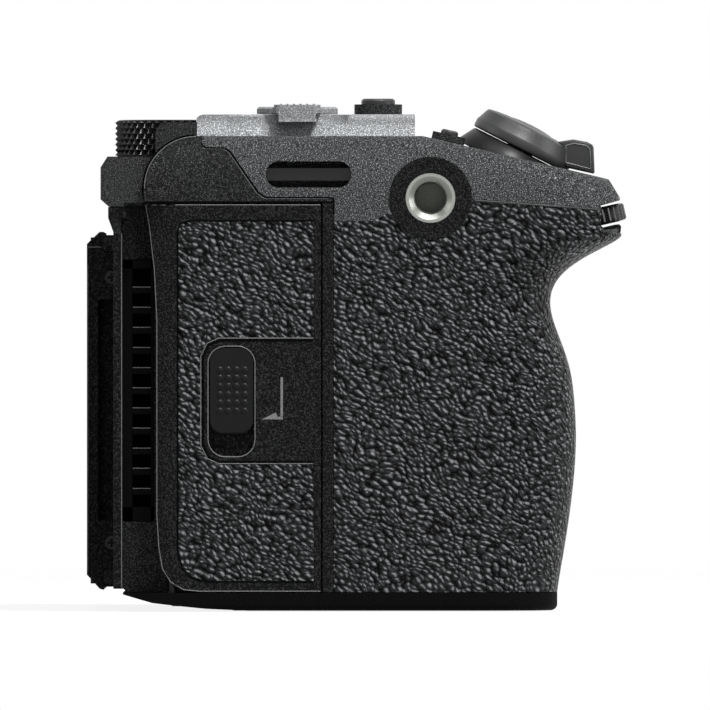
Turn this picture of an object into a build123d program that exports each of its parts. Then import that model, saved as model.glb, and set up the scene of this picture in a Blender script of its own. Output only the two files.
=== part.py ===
"""Compact cinema camera body: grip, card door, vari-angle monitor, dials and buttons.

Millimetres. X runs from the grip side (-X) to the port side (+X), the lens looks along -Y and
Z is up. The origin is the mouth of the tripod socket, on the base, under the image plane.
"""

from build123d import *
import os
from math import cos, hypot, pi, radians, sin, tan

os.makedirs("parts", exist_ok=True)

# Envelope of the body
grip_side_x = -76.0  # outer face of the grip and of the card door
port_side_x = 53.7  # outer face of the port side
front_y = -13.3  # front face beside the lens mount
rear_y = 32.4  # rear face behind the monitor
deck_z = 74.2  # top of the dark casings
base_top = 2.8  # joint between the base and the casings above it
split_y = 8.0  # joint between the front and the rear casing
wall = 2.0  # thickness of the cast casings
seam = 0.1  # gap between casings that are screwed together
fit_gap = 0.15  # clearance round a part that moves in its seat
run_gap = 0.05  # clearance of a shaft in its bore
corner_radius = 4.0  # upright corners of the casings
edge_radius = 1.0

# Lens mount and image plane
axis_z = 37.0  # height of the optical axis
flange_y = -18.0  # lens flange, 18 mm before the image plane
throat_radius = 23.05
mount_bore = 24.7  # inside of the mount ring between its claws
mount_radius = 28.5  # outer edge of the mount ring
mount_plate = 1.4
spigot_radius = 26.2
spigot_length = 3.2
boss_radius = 31.0  # round boss of the casing behind the ring
claw_count = 3
claw_span = 62.0  # degrees that each claw covers
claw_plate = 1.2
claw_depth = 1.0  # from the flange to the claws
lead_bore = 25.1  # wider mouth of the ring, before its claws
lead_depth = 0.9
mount_screw_count = 4
mount_screw_radius = 26.9  # pitch radius of the mount screws
screw_head = 1.1
screw_shank = 0.6
screw_sunk = 0.9  # depth of a screw's head

# Battery, with the grip built round it
battery_size = (22.7, 38.7, 51.7)
battery_x = -58.55
battery_rear_y = 10.2
battery_front_y = battery_rear_y - battery_size[1]
battery_low_z = 6.0
battery_gap = 0.25
bay_wall = 0.9
battery_door_thickness = 2.0
battery_door_margin = 1.4

# Grip
grip_inner_x = -43.5  # side of the grip that faces the mount
grip_joint_y = -0.6  # rear edge of the leather on the grip side
leather = 1.2
glue = 0.05
outer_corner = 13.0  # plan radius of the outer front corner
inner_corner = 9.0
grip_low_z = base_top + seam
nose_z = deck_z - 15.0  # height above which the grip's front stands upright
# How far the grip reaches before the battery, at even steps of height from the base to the nose
grip_reach = (7.1, 8.0, 8.9, 9.6, 10.0, 9.9, 9.3, 7.6, 6.0, 8.9, 16.9)
grip_fronts = [battery_front_y - reach for reach in grip_reach]
nose_y = grip_fronts[-1]  # foremost point of the grip, under the front dial
leather_rear_z = deck_z - 13.3  # top edge of the leather near the card door
leather_front_z = deck_z - 11.3
leather_ring_z = deck_z - 9.9
top_slope = 13.0  # degrees that the grip's top falls towards the front
nose_top_y = nose_y + 1.8
shoulder_z = deck_z - 9.6  # underside of the grip casing behind the grip
shoulder_rear_y = 20.0

# Camera screw sockets, 1/4 inch
socket_radius = 2.55  # wall of the tapped hole
socket_mouth = 3.4  # radius of the countersink
mouth_depth = 0.8
insert_radius = 3.9
insert_depth = 6.0
collar_radius = 6.4
side_insert_rise = 0.05  # the grip side's insert stands this far out of its ring's seat
side_socket_y = -15.7
side_socket_z = deck_z - 9.7
top_sockets = ((-34.0, 3.0), (34.0, -7.0), (34.0, 13.0))

# Strap slot in each upper corner
strap_y = 3.35
strap_z = deck_z - 6.0
strap_slot_length = 13.4
strap_slot_height = 4.1
strap_pocket = 3.6
strap_bar_height = 2.1
strap_bar_depth = 1.4
strap_bar_inset = 0.9
strap_bar_seat = 0.8  # how far each end of the bar enters the casing

# Card door
door_gap = 0.25
door_top_z = deck_z - 10.7
door_bottom_z = 3.0
door_front_y = 1.4
door_rear_y = 27.1
door_tip_y = 28.9
door_thickness = 3.2
door_skin = 2.0
door_heel = 6.0  # radius of the lower rear corner
door_floor_x = grip_side_x + door_thickness + 0.2
pivot_x = -74.4
pivot_y = 24.6
pivot_radius = 0.6
pivot_depth = 3.0
pivot_reach = 1.2  # how far the pivots enter the casings
door_slide_travel = 3.0
patch_front_y = 2.5
patch_rear_y = 23.75
patch_top_z = door_top_z - 2.6
patch_bottom_z = 4.6
patch_depth = 0.8
patch_heel = 4.6
island_rear_y = 20.0
island_low_z = 23.2
island_high_z = 42.4
lock_slot_y = (11.8, 19.0)
lock_slot_z = (24.1, 41.3)
lock_slot_depth = 1.4
lock_height = 13.7
lock_travel = 3.3
lock_stem = 2.0

# Cooling vent behind the card door
ridge_side_x = -71.8
ridge_y = 33.9
channel_x = -70.6
channel_front_y = 27.4
channel_rear_y = 32.7
vent_low_z = 14.0
vent_high_z = deck_z - 19.4
vent_depth = 2.6
slat_pitch = 3.15
slat_count = 11
slat_thickness = 1.0
slat_first_z = vent_high_z - 4.6
vent_window_y = (27.9, 31.0)
vent_window_z = (vent_low_z + 2.1, vent_high_z - 1.2)

# Rear control panel
panel_y = 31.0
panel_plate = 1.5
panel_left_x = -66.0
panel_right_x = -28.2
panel_low_z = 5.5
panel_high_z = deck_z - 16.2
panel_space_y = 27.8  # floor of the space behind the panel
key_rise = 1.1
key_flange = 0.6

# Thumb rest and rear dial
thumb_low_z = deck_z - 11.0
thumb_high_z = deck_z - 3.2
thumb_y = 35.9
thumb_left_x = -73.0
thumb_right_x = -30.0
upper_rear_y = 29.1
rear_dial_x = -60.0
rear_dial_y = 25.2
rear_dial_radius = 8.5
rear_dial_low_z = deck_z - 2.9
rear_dial_high_z = deck_z + 2.6
rear_dial_teeth = 48
cheek_high_z = deck_z + 2.2

# Top plate and what stands on it
plate_high_z = deck_z + 3.5
plate_left_x = -60.0
plate_right_x = 50.0
plate_rear_y = 20.8
shoe_foot = 18.6  # width of a standard accessory foot
shoe_gap = 12.6
shoe_foot_height = 2.1
shoe_lip = 0.8
shoe_wall = 1.8  # from the foot's channel to the shoe's side
shoe_front_y = -4.0
switch_x = -52.5
switch_y = 5.15
switch_radius = 6.35
switch_high_z = plate_high_z + 1.2
switch_tongue = 7.3
record_x = -52.5
record_y = -7.55
record_radius = 2.65
record_collar_radius = 3.75
record_collar_z = plate_high_z + 1.6
record_high_z = plate_high_z + 2.5

# Zoom lever, shutter button, front dial and keys on the grip
control_x = -59.5
lever_y = nose_y + 15.6
lever_z = deck_z - 2.0
lever_tilt = 27.0
lever_radius = 8.2
lever_band = 1.8
lever_height = 4.0
lever_float = 0.2  # gap under the lever
shutter_radius = 4.0
shutter_press = 0.9
top_key_y = lever_y + 11.4
slope_start_y = top_key_y + 3.9  # where the grip's top begins to fall
top_key_x = (-66.5, -58.5, -50.5)
top_key_radius = 1.35
top_key_collar = 2.6
front_dial_y = nose_y + 6.0
front_dial_z = deck_z - 13.2
front_dial_tilt = 13.0
front_dial_radius = 7.0
front_dial_height = 2.8
front_dial_teeth = 44
dial_pin = 1.5
slot_back_y = nose_y + 3.0

# Monitor
screen_left_x = -26.5
screen_right_x = 38.5
screen_low_z = 2.9
screen_high_z = deck_z - 14.8
screen_front_y = 33.2
screen_rear_y = 38.4
swing_x = 50.5
hinge_left_x = 39.7
hinge_ear_height = 5.0
hinge_pin_radius = 1.0
turn_pin_radius = 1.5
turn_pin_length = 5.0
glass_depth = 0.6


def block(low, high, mode=Mode.ADD):
    """A box between two corners."""
    size = [b - a for a, b in zip(low, high)]
    middle = [(a + b) / 2 for a, b in zip(low, high)]
    with Locations(tuple(middle)):
        Box(*size, mode=mode)


def side_prism(points, low_x, high_x, mode=Mode.ADD):
    """An outline in Y and Z, extruded across the body from low_x to high_x."""
    with BuildSketch(Plane.YZ.offset(low_x)) as outline:
        with BuildLine():
            Polyline(*points, close=True)
        make_face()
    extrude(outline.sketch, amount=high_x - low_x, mode=mode)


def drum(plane, radius, low, high, mode=Mode.ADD):
    """A round bar along a plane's normal, from low to high above the plane."""
    with BuildSketch(plane.offset(low)) as circle:
        Circle(radius)
    extrude(circle.sketch, amount=high - low, mode=mode)


def cone(plane, low_radius, high_radius, low, high, mode=Mode.ADD):
    """A round taper along a plane's normal, from low to high above the plane."""
    with BuildSketch(plane.offset(low)) as foot:
        Circle(low_radius)
    with BuildSketch(plane.offset(high)) as head:
        Circle(high_radius)
    loft([foot.sketch, head.sketch], mode=mode)


def toothed_drum(plane, radius, depth, teeth, low, high):
    """A finger dial: a drum with straight V grooves round its edge."""
    drum(plane, radius, low, high)
    step = 2 * pi / teeth
    with BuildSketch(plane.offset(low)) as grooves:
        with PolarLocations(radius, teeth):
            Polygon((-depth, 0), (0.01, -radius * step * 0.4), (0.01, radius * step * 0.4), align=None)
    extrude(grooves.sketch, amount=high - low, mode=Mode.SUBTRACT)


def looking_front(x, z, y=0.0):
    """A plane at the given point whose normal points to the front, out of the mount."""
    return Plane(origin=(x, y, z), x_dir=(1, 0, 0), z_dir=(0, -1, 0))


def looking_rear(x, z, y=0.0):
    """A plane at the given point whose normal points out of the rear face."""
    return Plane(origin=(x, y, z), x_dir=(-1, 0, 0), z_dir=(0, 1, 0))


def looking_grip(y, z, x=grip_side_x):
    """A plane at the given point whose normal points out of the grip side."""
    return Plane(origin=(x, y, z), x_dir=(0, -1, 0), z_dir=(-1, 0, 0))


def looking_port(y, z, x=port_side_x):
    """A plane at the given point whose normal points out of the port side."""
    return Plane(origin=(x, y, z), x_dir=(0, 1, 0), z_dir=(1, 0, 0))


# Grip casing, its leather and the battery bay
def grip_form(inset, straight):
    """The grip's form, drawn in by inset on its outer sides, with straight or smooth runs between heights."""
    left = grip_side_x + inset
    right = grip_inner_x - inset
    with BuildPart() as form:
        for step, front in enumerate(grip_fronts):
            height = grip_low_z + (nose_z - grip_low_z) * step / (len(grip_fronts) - 1)
            with BuildSketch(Plane.XY.offset(height)) as section:
                with Locations(((left + right) / 2, (front + inset + grip_joint_y) / 2)):
                    Rectangle(right - left, grip_joint_y - front - inset)
                for corner_x, radius in ((left, outer_corner), (right, inner_corner)):
                    corner = section.vertices().sort_by_distance((corner_x, front + inset))[0]
                    fillet(corner, radius - inset)
        loft(ruled=straight)
        extrude(form.faces().sort_by(Axis.Z)[-1], amount=deck_z - nose_z)
    return form.part


grip_full = grip_form(0, False)
grip_core = grip_form(leather + glue, True)
dial_slot_z = front_dial_z - front_dial_height / 2
leather_outline = [
    (grip_joint_y, grip_low_z),
    (grip_joint_y, leather_rear_z),
    (side_socket_y + collar_radius + 2.7, leather_rear_z),
    (side_socket_y + collar_radius - 0.2, leather_rear_z + 1.5),
    (side_socket_y - collar_radius - 0.3, leather_ring_z),
    (slot_back_y, leather_front_z),
    (slot_back_y, dial_slot_z + 0.6),
    (slot_back_y - 1.0, dial_slot_z - 0.4),
    (nose_y - 1, dial_slot_z - 0.2),
    (nose_y - 1, grip_low_z),
]
side_socket = looking_grip(side_socket_y, side_socket_z)
front_dial_plane = Plane(
    origin=(control_x, front_dial_y, front_dial_z),
    x_dir=(1, 0, 0),
    z_dir=(0, sin(radians(front_dial_tilt)), cos(radians(front_dial_tilt))),
)
dial_half = front_dial_height / 2 + 0.25

with BuildPart() as grip_leather:
    side_prism(leather_outline, grip_side_x - 1, grip_inner_x + 1)
    drum(side_socket, collar_radius + seam, -insert_depth, 2, mode=Mode.SUBTRACT)
    add(grip_full, mode=Mode.INTERSECT)
    add(grip_core, mode=Mode.SUBTRACT)
grip_leather.part.label = "grip_leather"
export_step(grip_leather.part, "parts/grip_leather.step")

with BuildPart() as leather_pocket:
    side_prism(leather_outline, grip_side_x - 1, grip_inner_x + 1)
    drum(side_socket, collar_radius + seam, -insert_depth, 2, mode=Mode.SUBTRACT)
    add(grip_core, mode=Mode.SUBTRACT)

nose_top_z = deck_z - (slope_start_y - nose_top_y) * tan(radians(top_slope))
battery_left_x = battery_x - battery_size[0] / 2
battery_right_x = battery_x + battery_size[0] / 2
battery_high_z = battery_low_z + battery_size[2]
bay_low = (battery_left_x - battery_gap, battery_front_y - battery_gap, base_top - 1)
bay_high = (battery_right_x + battery_gap, battery_rear_y + battery_gap, battery_high_z + battery_gap)
lever_plane = Plane(
    origin=(control_x, lever_y, lever_z),
    x_dir=(1, 0, 0),
    z_dir=(0, -sin(radians(lever_tilt)), cos(radians(lever_tilt))),
)


def slope_z(y):
    """Height of the grip's sloping top."""
    return deck_z - (slope_start_y - y) * tan(radians(top_slope))


def key_plane(x):
    """The plane of a small key on the grip's sloping top."""
    return Plane(
        origin=(x, top_key_y, slope_z(top_key_y)),
        x_dir=(1, 0, 0),
        z_dir=(0, -sin(radians(top_slope)), cos(radians(top_slope))),
    )


def strap_slot(plane):
    """The round-ended slot of a strap bar, sunk into a side of the body, with its bar's seats."""
    with BuildSketch(plane) as slot:
        SlotOverall(strap_slot_length, strap_slot_height)
    extrude(slot.sketch, amount=-strap_pocket, mode=Mode.SUBTRACT)
    seat = strap_slot_length + 2 * strap_bar_seat
    with BuildSketch(plane.offset(-strap_bar_inset)) as bar:
        Rectangle(seat, strap_bar_height)
    extrude(bar.sketch, amount=-strap_bar_depth, mode=Mode.SUBTRACT)


dial_axis = Plane((rear_dial_x, rear_dial_y, 0))
grip_strap = looking_grip(strap_y, strap_z)
port_strap = looking_port(strap_y - 4.5, strap_z)

shoulder_outline = [
    (grip_joint_y, shoulder_z),
    (10.0, shoulder_z),
    (11.25, shoulder_z + 0.8),
    (15.7, deck_z - 2.3),
    (16.5, deck_z - 1.8),
    (shoulder_rear_y - 0.6, deck_z - 1.8),
    (shoulder_rear_y, deck_z - 1.3),
    (shoulder_rear_y, deck_z),
    (grip_joint_y, deck_z),
]

with BuildPart() as grip_casing:
    add(grip_full)
    side_prism(shoulder_outline, grip_side_x, grip_inner_x)
    side_prism(
        [
            (slope_start_y, deck_z),
            (nose_top_y, nose_top_z),
            (nose_y, leather_front_z + 1.7),
            (nose_y - 1, leather_front_z + 1.7),
            (nose_y - 1, deck_z + 1),
            (slope_start_y, deck_z + 1),
        ],
        grip_side_x - 1,
        grip_inner_x + 1,
        mode=Mode.SUBTRACT,
    )
    top_edges = (
        grip_casing.faces()
        .filter_by(lambda face: face.normal_at().Z > 0.9 and face.center().Z > shoulder_z)
        .edges()
        .filter_by(lambda edge: edge.center().X < grip_side_x + 0.1)
    )
    fillet(top_edges, radius=2.0)
    add(leather_pocket.part, mode=Mode.SUBTRACT)
    side_prism(
        [
            (slot_back_y, leather_front_z + 0.5),
            (nose_y - 1, leather_front_z + 1.6),
            (nose_y - 1, dial_slot_z + 0.4),
            (slot_back_y, dial_slot_z - 0.2),
        ],
        grip_side_x - 1,
        grip_inner_x + 1,
        mode=Mode.SUBTRACT,
    )
    drum(front_dial_plane, front_dial_radius + 0.4, -dial_half, dial_half, mode=Mode.SUBTRACT)
    drum(front_dial_plane, dial_pin + run_gap, -dial_half - 1.3, dial_half + 2, mode=Mode.SUBTRACT)
    block(
        (bay_low[0] - bay_wall, grip_joint_y - 0.5, grip_low_z),
        (bay_high[0] + bay_wall, bay_high[1] + bay_wall, bay_high[2] + bay_wall),
    )
    block(bay_low, bay_high, mode=Mode.SUBTRACT)
    drum(side_socket, collar_radius + 0.05, -3, 2, mode=Mode.SUBTRACT)
    drum(side_socket, insert_radius + run_gap, -insert_depth - 0.1, -2, mode=Mode.SUBTRACT)
    cone(lever_plane, lever_radius + 1.2, lever_radius - 0.4, -3.2, -lever_float)
    drum(lever_plane, lever_radius + 0.3, -lever_float, 8, mode=Mode.SUBTRACT)
    drum(lever_plane, 2.2 + run_gap, -4, 1, mode=Mode.SUBTRACT)
    for key_x in top_key_x:
        drum(key_plane(key_x), top_key_collar - 0.4, -2, 0, mode=Mode.SUBTRACT)
        drum(key_plane(key_x), top_key_collar + 0.05, 0, 2, mode=Mode.SUBTRACT)
    drum(dial_axis, rear_dial_radius + 0.5, rear_dial_low_z - 0.2, deck_z + 1, mode=Mode.SUBTRACT)
    strap_slot(grip_strap)
grip_casing.part.label = "grip_casing"
export_step(grip_casing.part, "parts/grip_casing.step")


# Base with the tripod socket and the battery door
casing_low_z = base_top + seam
casing_left_x = grip_inner_x + seam
door_hole_low = (battery_left_x - battery_door_margin, battery_front_y - 1.3)
door_hole_high = (battery_right_x + battery_door_margin - 0.6, battery_rear_y + 6.0)
base_screws = ((-30.0, -9.4), (34.0, -9.4), (-18.0, 24.0), (40.0, 24.0))
screw_boss = 2.2
screw_boss_z = 10.0
pivot_middle_y = pivot_y + door_slide_travel / 2
low_slot_plane = Plane(origin=(pivot_x, pivot_middle_y, base_top), x_dir=(0, 1, 0))

with BuildPart() as base:
    with BuildSketch() as base_outline:
        with Locations(((grip_side_x + port_side_x) / 2, (front_y + rear_y) / 2)):
            Rectangle(port_side_x - grip_side_x, rear_y - front_y)
        grip_front = grip_fronts[0]
        with Locations(((grip_side_x + grip_inner_x) / 2, (grip_front + grip_joint_y) / 2)):
            Rectangle(grip_inner_x - grip_side_x, grip_joint_y - grip_front)
        for corner_point, radius in (
            ((grip_side_x, grip_front), outer_corner),
            ((grip_inner_x, grip_front), inner_corner),
            ((grip_side_x, rear_y), corner_radius),
            ((port_side_x, rear_y), corner_radius),
            ((port_side_x, front_y), corner_radius),
        ):
            fillet(base_outline.vertices().sort_by_distance(corner_point)[0], radius)
    extrude(amount=base_top)
    fillet(base.faces().sort_by(Axis.Z)[0].edges(), radius=edge_radius)
    side_prism(
        [(12.8, 0), (19.4, 0.3), (24.4, 0.8), (27.8, 1.2), (rear_y + 0.6, 2.7), (rear_y + 1, -1), (12.8, -1)],
        grip_side_x - 1,
        port_side_x + 1,
        mode=Mode.SUBTRACT,
    )
    block((*door_hole_low, -1), (*door_hole_high, base_top + 1), mode=Mode.SUBTRACT)
    drum(Plane.XY, insert_radius + 0.02, -1, base_top + 1, mode=Mode.SUBTRACT)
    for x, y in base_screws:
        drum(Plane((x, y, 0)), screw_shank + run_gap, -1, base_top + 1, mode=Mode.SUBTRACT)
        drum(Plane((x, y, 0)), screw_head + 0.1, -1, screw_sunk + 0.1, mode=Mode.SUBTRACT)
    with BuildSketch(low_slot_plane) as low_slot:
        SlotCenterToCenter(door_slide_travel, 2 * (pivot_radius + run_gap))
    extrude(amount=-pivot_reach - 0.1, mode=Mode.SUBTRACT)
base.part.label = "base"
export_step(base.part, "parts/base.step")


# Front casing with the boss of the lens mount
release_x = 37.5
release_z = 27.0
release_radius = 4.4
release_rise = 2.6
release_skirt = 1.2
lock_pin_radius = 1.1
lock_pin_x = 26.6
lock_pin_rise = 1.2
mount_axis = looking_front(0, axis_z)
flange = -flange_y
boss_face = flange - mount_plate
front_inside_y = front_y + wall
port_wall = 2.0
port_hole_y = (-6.0, 6.5)
port_upper_z = (deck_z - 34.2, deck_z - 12.2)
port_lower_z = (10.0, port_upper_z[0] - 4.0)
port_pin_inset = 1.4  # from the rear edge of the port hole to the doors' pins
port_depth = 3.0
port_door_thickness = 1.8
port_pin_radius = 0.5
port_pin_plane = Plane((port_side_x - port_door_thickness / 2, port_hole_y[1] - port_pin_inset, 0))

with BuildPart() as front_casing:
    block((casing_left_x, front_y, casing_low_z), (port_side_x, split_y - seam, deck_z))
    corner_edges = front_casing.edges().filter_by(Axis.Z).filter_by(
        lambda edge: edge.center().X > port_side_x - 1 and edge.center().Y < 0
    )
    fillet(corner_edges, radius=corner_radius)
    block(
        (casing_left_x + wall, front_inside_y, casing_low_z - 1),
        (port_side_x - port_wall, split_y + 1, deck_z - wall),
        mode=Mode.SUBTRACT,
    )
    for x, y in base_screws[:2]:
        block(
            (x - screw_boss, front_inside_y - 0.5, casing_low_z),
            (x + screw_boss, y + screw_boss, screw_boss_z),
        )
        drum(Plane((x, y, 0)), screw_shank + run_gap, 0, screw_boss_z - 2, mode=Mode.SUBTRACT)
    drum(mount_axis, boss_radius - 0.5, -front_inside_y, boss_face - 0.01)
    cone(mount_axis, boss_radius + 1.2, boss_radius - 0.5, -front_y, boss_face - 0.01)
    drum(mount_axis, spigot_radius + 0.05, -front_inside_y - 3, boss_face + 2, mode=Mode.SUBTRACT)
    release_plane = looking_front(release_x, release_z)
    drum(release_plane, release_radius + 1.3, -front_y - 1, -front_y + 0.8)
    drum(release_plane, release_radius + fit_gap, -front_inside_y - 1, -front_y + 3, mode=Mode.SUBTRACT)
    lock_pin_plane = looking_front(lock_pin_x, axis_z)
    drum(lock_pin_plane, lock_pin_radius + run_gap, -front_inside_y - 1, boss_face + 2, mode=Mode.SUBTRACT)
    mount_screw_planes = [
        looking_front(
            mount_screw_radius * cos(radians(45 + 360 / mount_screw_count * k)),
            axis_z + mount_screw_radius * sin(radians(45 + 360 / mount_screw_count * k)),
        )
        for k in range(mount_screw_count)
    ]
    for screw_plane in mount_screw_planes:
        drum(screw_plane, screw_shank + run_gap, boss_face - 4, boss_face + 1, mode=Mode.SUBTRACT)
    for low_z, high_z in (port_upper_z, port_lower_z):
        block(
            (port_side_x - port_depth, port_hole_y[0], low_z),
            (port_side_x + 1, port_hole_y[1], high_z),
            mode=Mode.SUBTRACT,
        )
        drum(port_pin_plane, port_pin_radius, low_z - 1.2, high_z + 1.2, mode=Mode.SUBTRACT)
    strap_slot(port_strap)
    for socket_x, socket_y in top_sockets:
        drum(Plane((socket_x, socket_y, deck_z)), insert_radius + run_gap, -4, 1, mode=Mode.SUBTRACT)
front_casing.part.label = "front_casing"
export_step(front_casing.part, "parts/front_casing.step")


# Rear casing with the door recess, the vent channel and the frame of the control panel
door_recess_high_z = door_top_z + door_gap
rear_inside_y = rear_y - wall
panel_frame_z = thumb_low_z - 4.0
shoulder_radius = 8.2
shoulder_y = 20.9
well_front_y = 21.2
well_x = -70.7
tip_reach = hypot(door_tip_y - pivot_y, grip_side_x + door_thickness - pivot_x)
card_mouth_low = (battery_rear_y + battery_gap + bay_wall + 1.85, 7.4)
card_mouth_high = (card_mouth_low[0] + 7.0, door_top_z - 6.1)
inner_wall_x = grip_side_x + 4.9
card_rear_y = card_mouth_high[0] + 0.4
duct_low_z = vent_low_z + 1.0
duct_high_z = vent_high_z - 0.2
port_socket = looking_port(20.0, deck_z - 10.2)
cheek_x = (-72.4, -69.2)
pocket_high_z = thumb_low_z - 1.8
vent_frame = 1.4
wheel_x = -46.5
wheel_z = 27.0
wheel_radius = 10.4
wheel_hub = 5.0
centre_radius = 4.3
wheel_axis = looking_rear(wheel_x, wheel_z)
high_slot_plane = Plane(origin=(pivot_x, pivot_middle_y, door_recess_high_z), x_dir=(0, 1, 0))
joystick_x = -47.5
joystick_z = 48.5
joystick_y = 28.9  # pivot of the joystick, behind the panel
joystick_axis = looking_rear(joystick_x, joystick_z)
joystick_pin = 0.4  # radius of the pins that the joystick's ring and stem turn on
joystick_ring_radius = 3.6
joystick_lug = 1.2
joystick_upright_axis = Plane((joystick_x, joystick_y, joystick_z))
joystick_cross_axis = Plane(origin=(joystick_x, joystick_y, joystick_z), x_dir=(0, 1, 0), z_dir=(1, 0, 0))


def tip_way(low, high):
    """Room for the door's upper rear tip, which slides back and then turns inwards."""
    with BuildSketch(Plane.XY.offset(low)) as way:
        with Locations((pivot_x, pivot_middle_y)):
            SlotCenterToCenter(door_slide_travel, 2 * (tip_reach + door_gap), rotation=90)
    extrude(way.sketch, amount=high - low, mode=Mode.SUBTRACT)


with BuildPart() as rear_casing:
    with BuildSketch(Plane.YZ.offset(grip_side_x)) as rear_profile:
        with BuildLine():
            Polyline(
                (shoulder_y + shoulder_radius, deck_z - shoulder_radius),
                (upper_rear_y, thumb_low_z - seam),
                (rear_y, thumb_low_z - seam),
                (rear_y, casing_low_z + 0.6),
                (rear_y - 0.6, casing_low_z),
                (grip_joint_y + seam, casing_low_z),
                (grip_joint_y + seam, deck_z),
                (shoulder_y, deck_z),
            )
            CenterArc((shoulder_y, deck_z - shoulder_radius), shoulder_radius, 0, 90)
        make_face()
    extrude(amount=port_side_x - grip_side_x)
    with BuildSketch() as rear_plan:
        with Locations(((grip_side_x + port_side_x) / 2, (front_y + rear_y) / 2)):
            Rectangle(port_side_x - grip_side_x, rear_y - front_y)
        fillet(rear_plan.vertices().group_by(Axis.Y)[-1], corner_radius)
    extrude(amount=deck_z, mode=Mode.INTERSECT)
    side_prism(
        [
            (upper_rear_y - 6, panel_frame_z - 6),
            (ridge_y, panel_frame_z - 6),
            (ridge_y, panel_frame_z),
            (ridge_y + 0.8, panel_frame_z + 2.2),
            (ridge_y + 0.8, thumb_low_z - seam),
            (upper_rear_y - 6, thumb_low_z - seam),
        ],
        ridge_side_x,
        thumb_right_x,
    )
    block((ridge_side_x, upper_rear_y - 6, casing_low_z + 0.5), (panel_right_x, ridge_y, panel_frame_z))
    ridge_edges = rear_casing.edges().filter_by(Axis.Z).filter_by(
        lambda edge: abs(edge.center().Y - ridge_y) < 0.1 and edge.center().X < ridge_side_x + 0.1
    )
    chamfer(ridge_edges, length=0.9)
    block(
        (cheek_x[0], plate_rear_y, deck_z - 8),
        (cheek_x[1], plate_rear_y + 6.5, cheek_high_z),
    )
    cheek_corner = rear_casing.edges().filter_by(Axis.X).filter_by(
        lambda edge: edge.center().Z > cheek_high_z - 0.1 and edge.center().Y > plate_rear_y + 6
    )
    fillet(cheek_corner, radius=2.0)

    # Room for the front casing and for the shoulder of the grip casing
    block(
        (grip_inner_x, grip_joint_y - 1, casing_low_z - 1),
        (port_side_x + 1, split_y, deck_z + 1),
        mode=Mode.SUBTRACT,
    )
    side_prism(
        [(y + seam, z - seam) for y, z in shoulder_outline[:-1]]
        + [
            (shoulder_rear_y + seam, deck_z + 1),
            (grip_joint_y - 1, deck_z + 1),
            (grip_joint_y - 1, shoulder_z - seam),
        ],
        grip_side_x - 1,
        grip_inner_x + seam,
        mode=Mode.SUBTRACT,
    )

    # Room inside
    block(
        (inner_wall_x, grip_joint_y - 1, casing_low_z - 1),
        (grip_inner_x + 0.5, card_rear_y, shoulder_z - wall),
        mode=Mode.SUBTRACT,
    )
    block(
        (well_x + 1.4, card_rear_y - 1, casing_low_z - 1),
        (grip_inner_x + 1, panel_space_y - 1.5, duct_high_z + 0.4),
        mode=Mode.SUBTRACT,
    )
    block(
        (grip_inner_x, split_y - 1, casing_low_z - 1),
        (panel_right_x + wall + 1, panel_space_y - 1.5, deck_z - shoulder_radius),
        mode=Mode.SUBTRACT,
    )
    block(
        (panel_right_x + wall, split_y - 1, casing_low_z - 1),
        (port_side_x - port_wall, rear_inside_y, thumb_low_z - wall),
        mode=Mode.SUBTRACT,
    )
    block(
        (panel_right_x + wall, split_y - 1, thumb_low_z - wall - 1),
        (port_side_x - port_wall, shoulder_y + 4, deck_z - wall),
        mode=Mode.SUBTRACT,
    )

    for x, y in base_screws[2:]:
        block(
            (x - screw_boss, y - screw_boss, casing_low_z),
            (x + screw_boss, rear_inside_y + 0.5, screw_boss_z),
        )
        drum(Plane((x, y, 0)), screw_shank + run_gap, 0, screw_boss_z - 2, mode=Mode.SUBTRACT)

    # Card door recess, the well that its rear edge turns in, and the vent channel
    block(
        (grip_side_x - 1, door_front_y - door_gap, casing_low_z - 1),
        (door_floor_x, door_tip_y + door_gap, door_recess_high_z),
        mode=Mode.SUBTRACT,
    )
    block(
        (grip_side_x - 1, door_tip_y, pocket_high_z - 1),
        (ridge_side_x - 0.6, rear_y + 1, thumb_low_z),
        mode=Mode.SUBTRACT,
    )
    block(
        (grip_side_x - 1, well_front_y, casing_low_z - 1),
        (well_x, channel_front_y, door_recess_high_z),
        mode=Mode.SUBTRACT,
    )
    tip_way(vent_high_z + seam, door_recess_high_z)
    block(
        (grip_side_x - 1, channel_front_y - 0.5, casing_low_z - 1),
        (channel_x, channel_rear_y, pocket_high_z),
        mode=Mode.SUBTRACT,
    )
    block(
        (channel_x - 1, channel_front_y + 0.05, vent_low_z - seam),
        (channel_x + vent_frame, channel_rear_y - 0.05, vent_high_z + seam),
        mode=Mode.SUBTRACT,
    )
    block(
        (channel_x, vent_window_y[0], vent_window_z[0]),
        (panel_left_x - 1, vent_window_y[1], vent_window_z[1]),
        mode=Mode.SUBTRACT,
    )
    block(
        (well_x + 1.4, card_rear_y + 3, vent_window_z[0]),
        (panel_left_x - 1, vent_window_y[0] + 1, vent_window_z[1]),
        mode=Mode.SUBTRACT,
    )
    block(
        (grip_side_x - 1, card_mouth_low[0], card_mouth_low[1]),
        (inner_wall_x + 0.5, card_mouth_high[0], card_mouth_high[1]),
        mode=Mode.SUBTRACT,
    )
    with BuildSketch(high_slot_plane) as high_slot:
        SlotCenterToCenter(door_slide_travel, 2 * (pivot_radius + run_gap))
    extrude(amount=pivot_reach + 0.1, mode=Mode.SUBTRACT)

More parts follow.
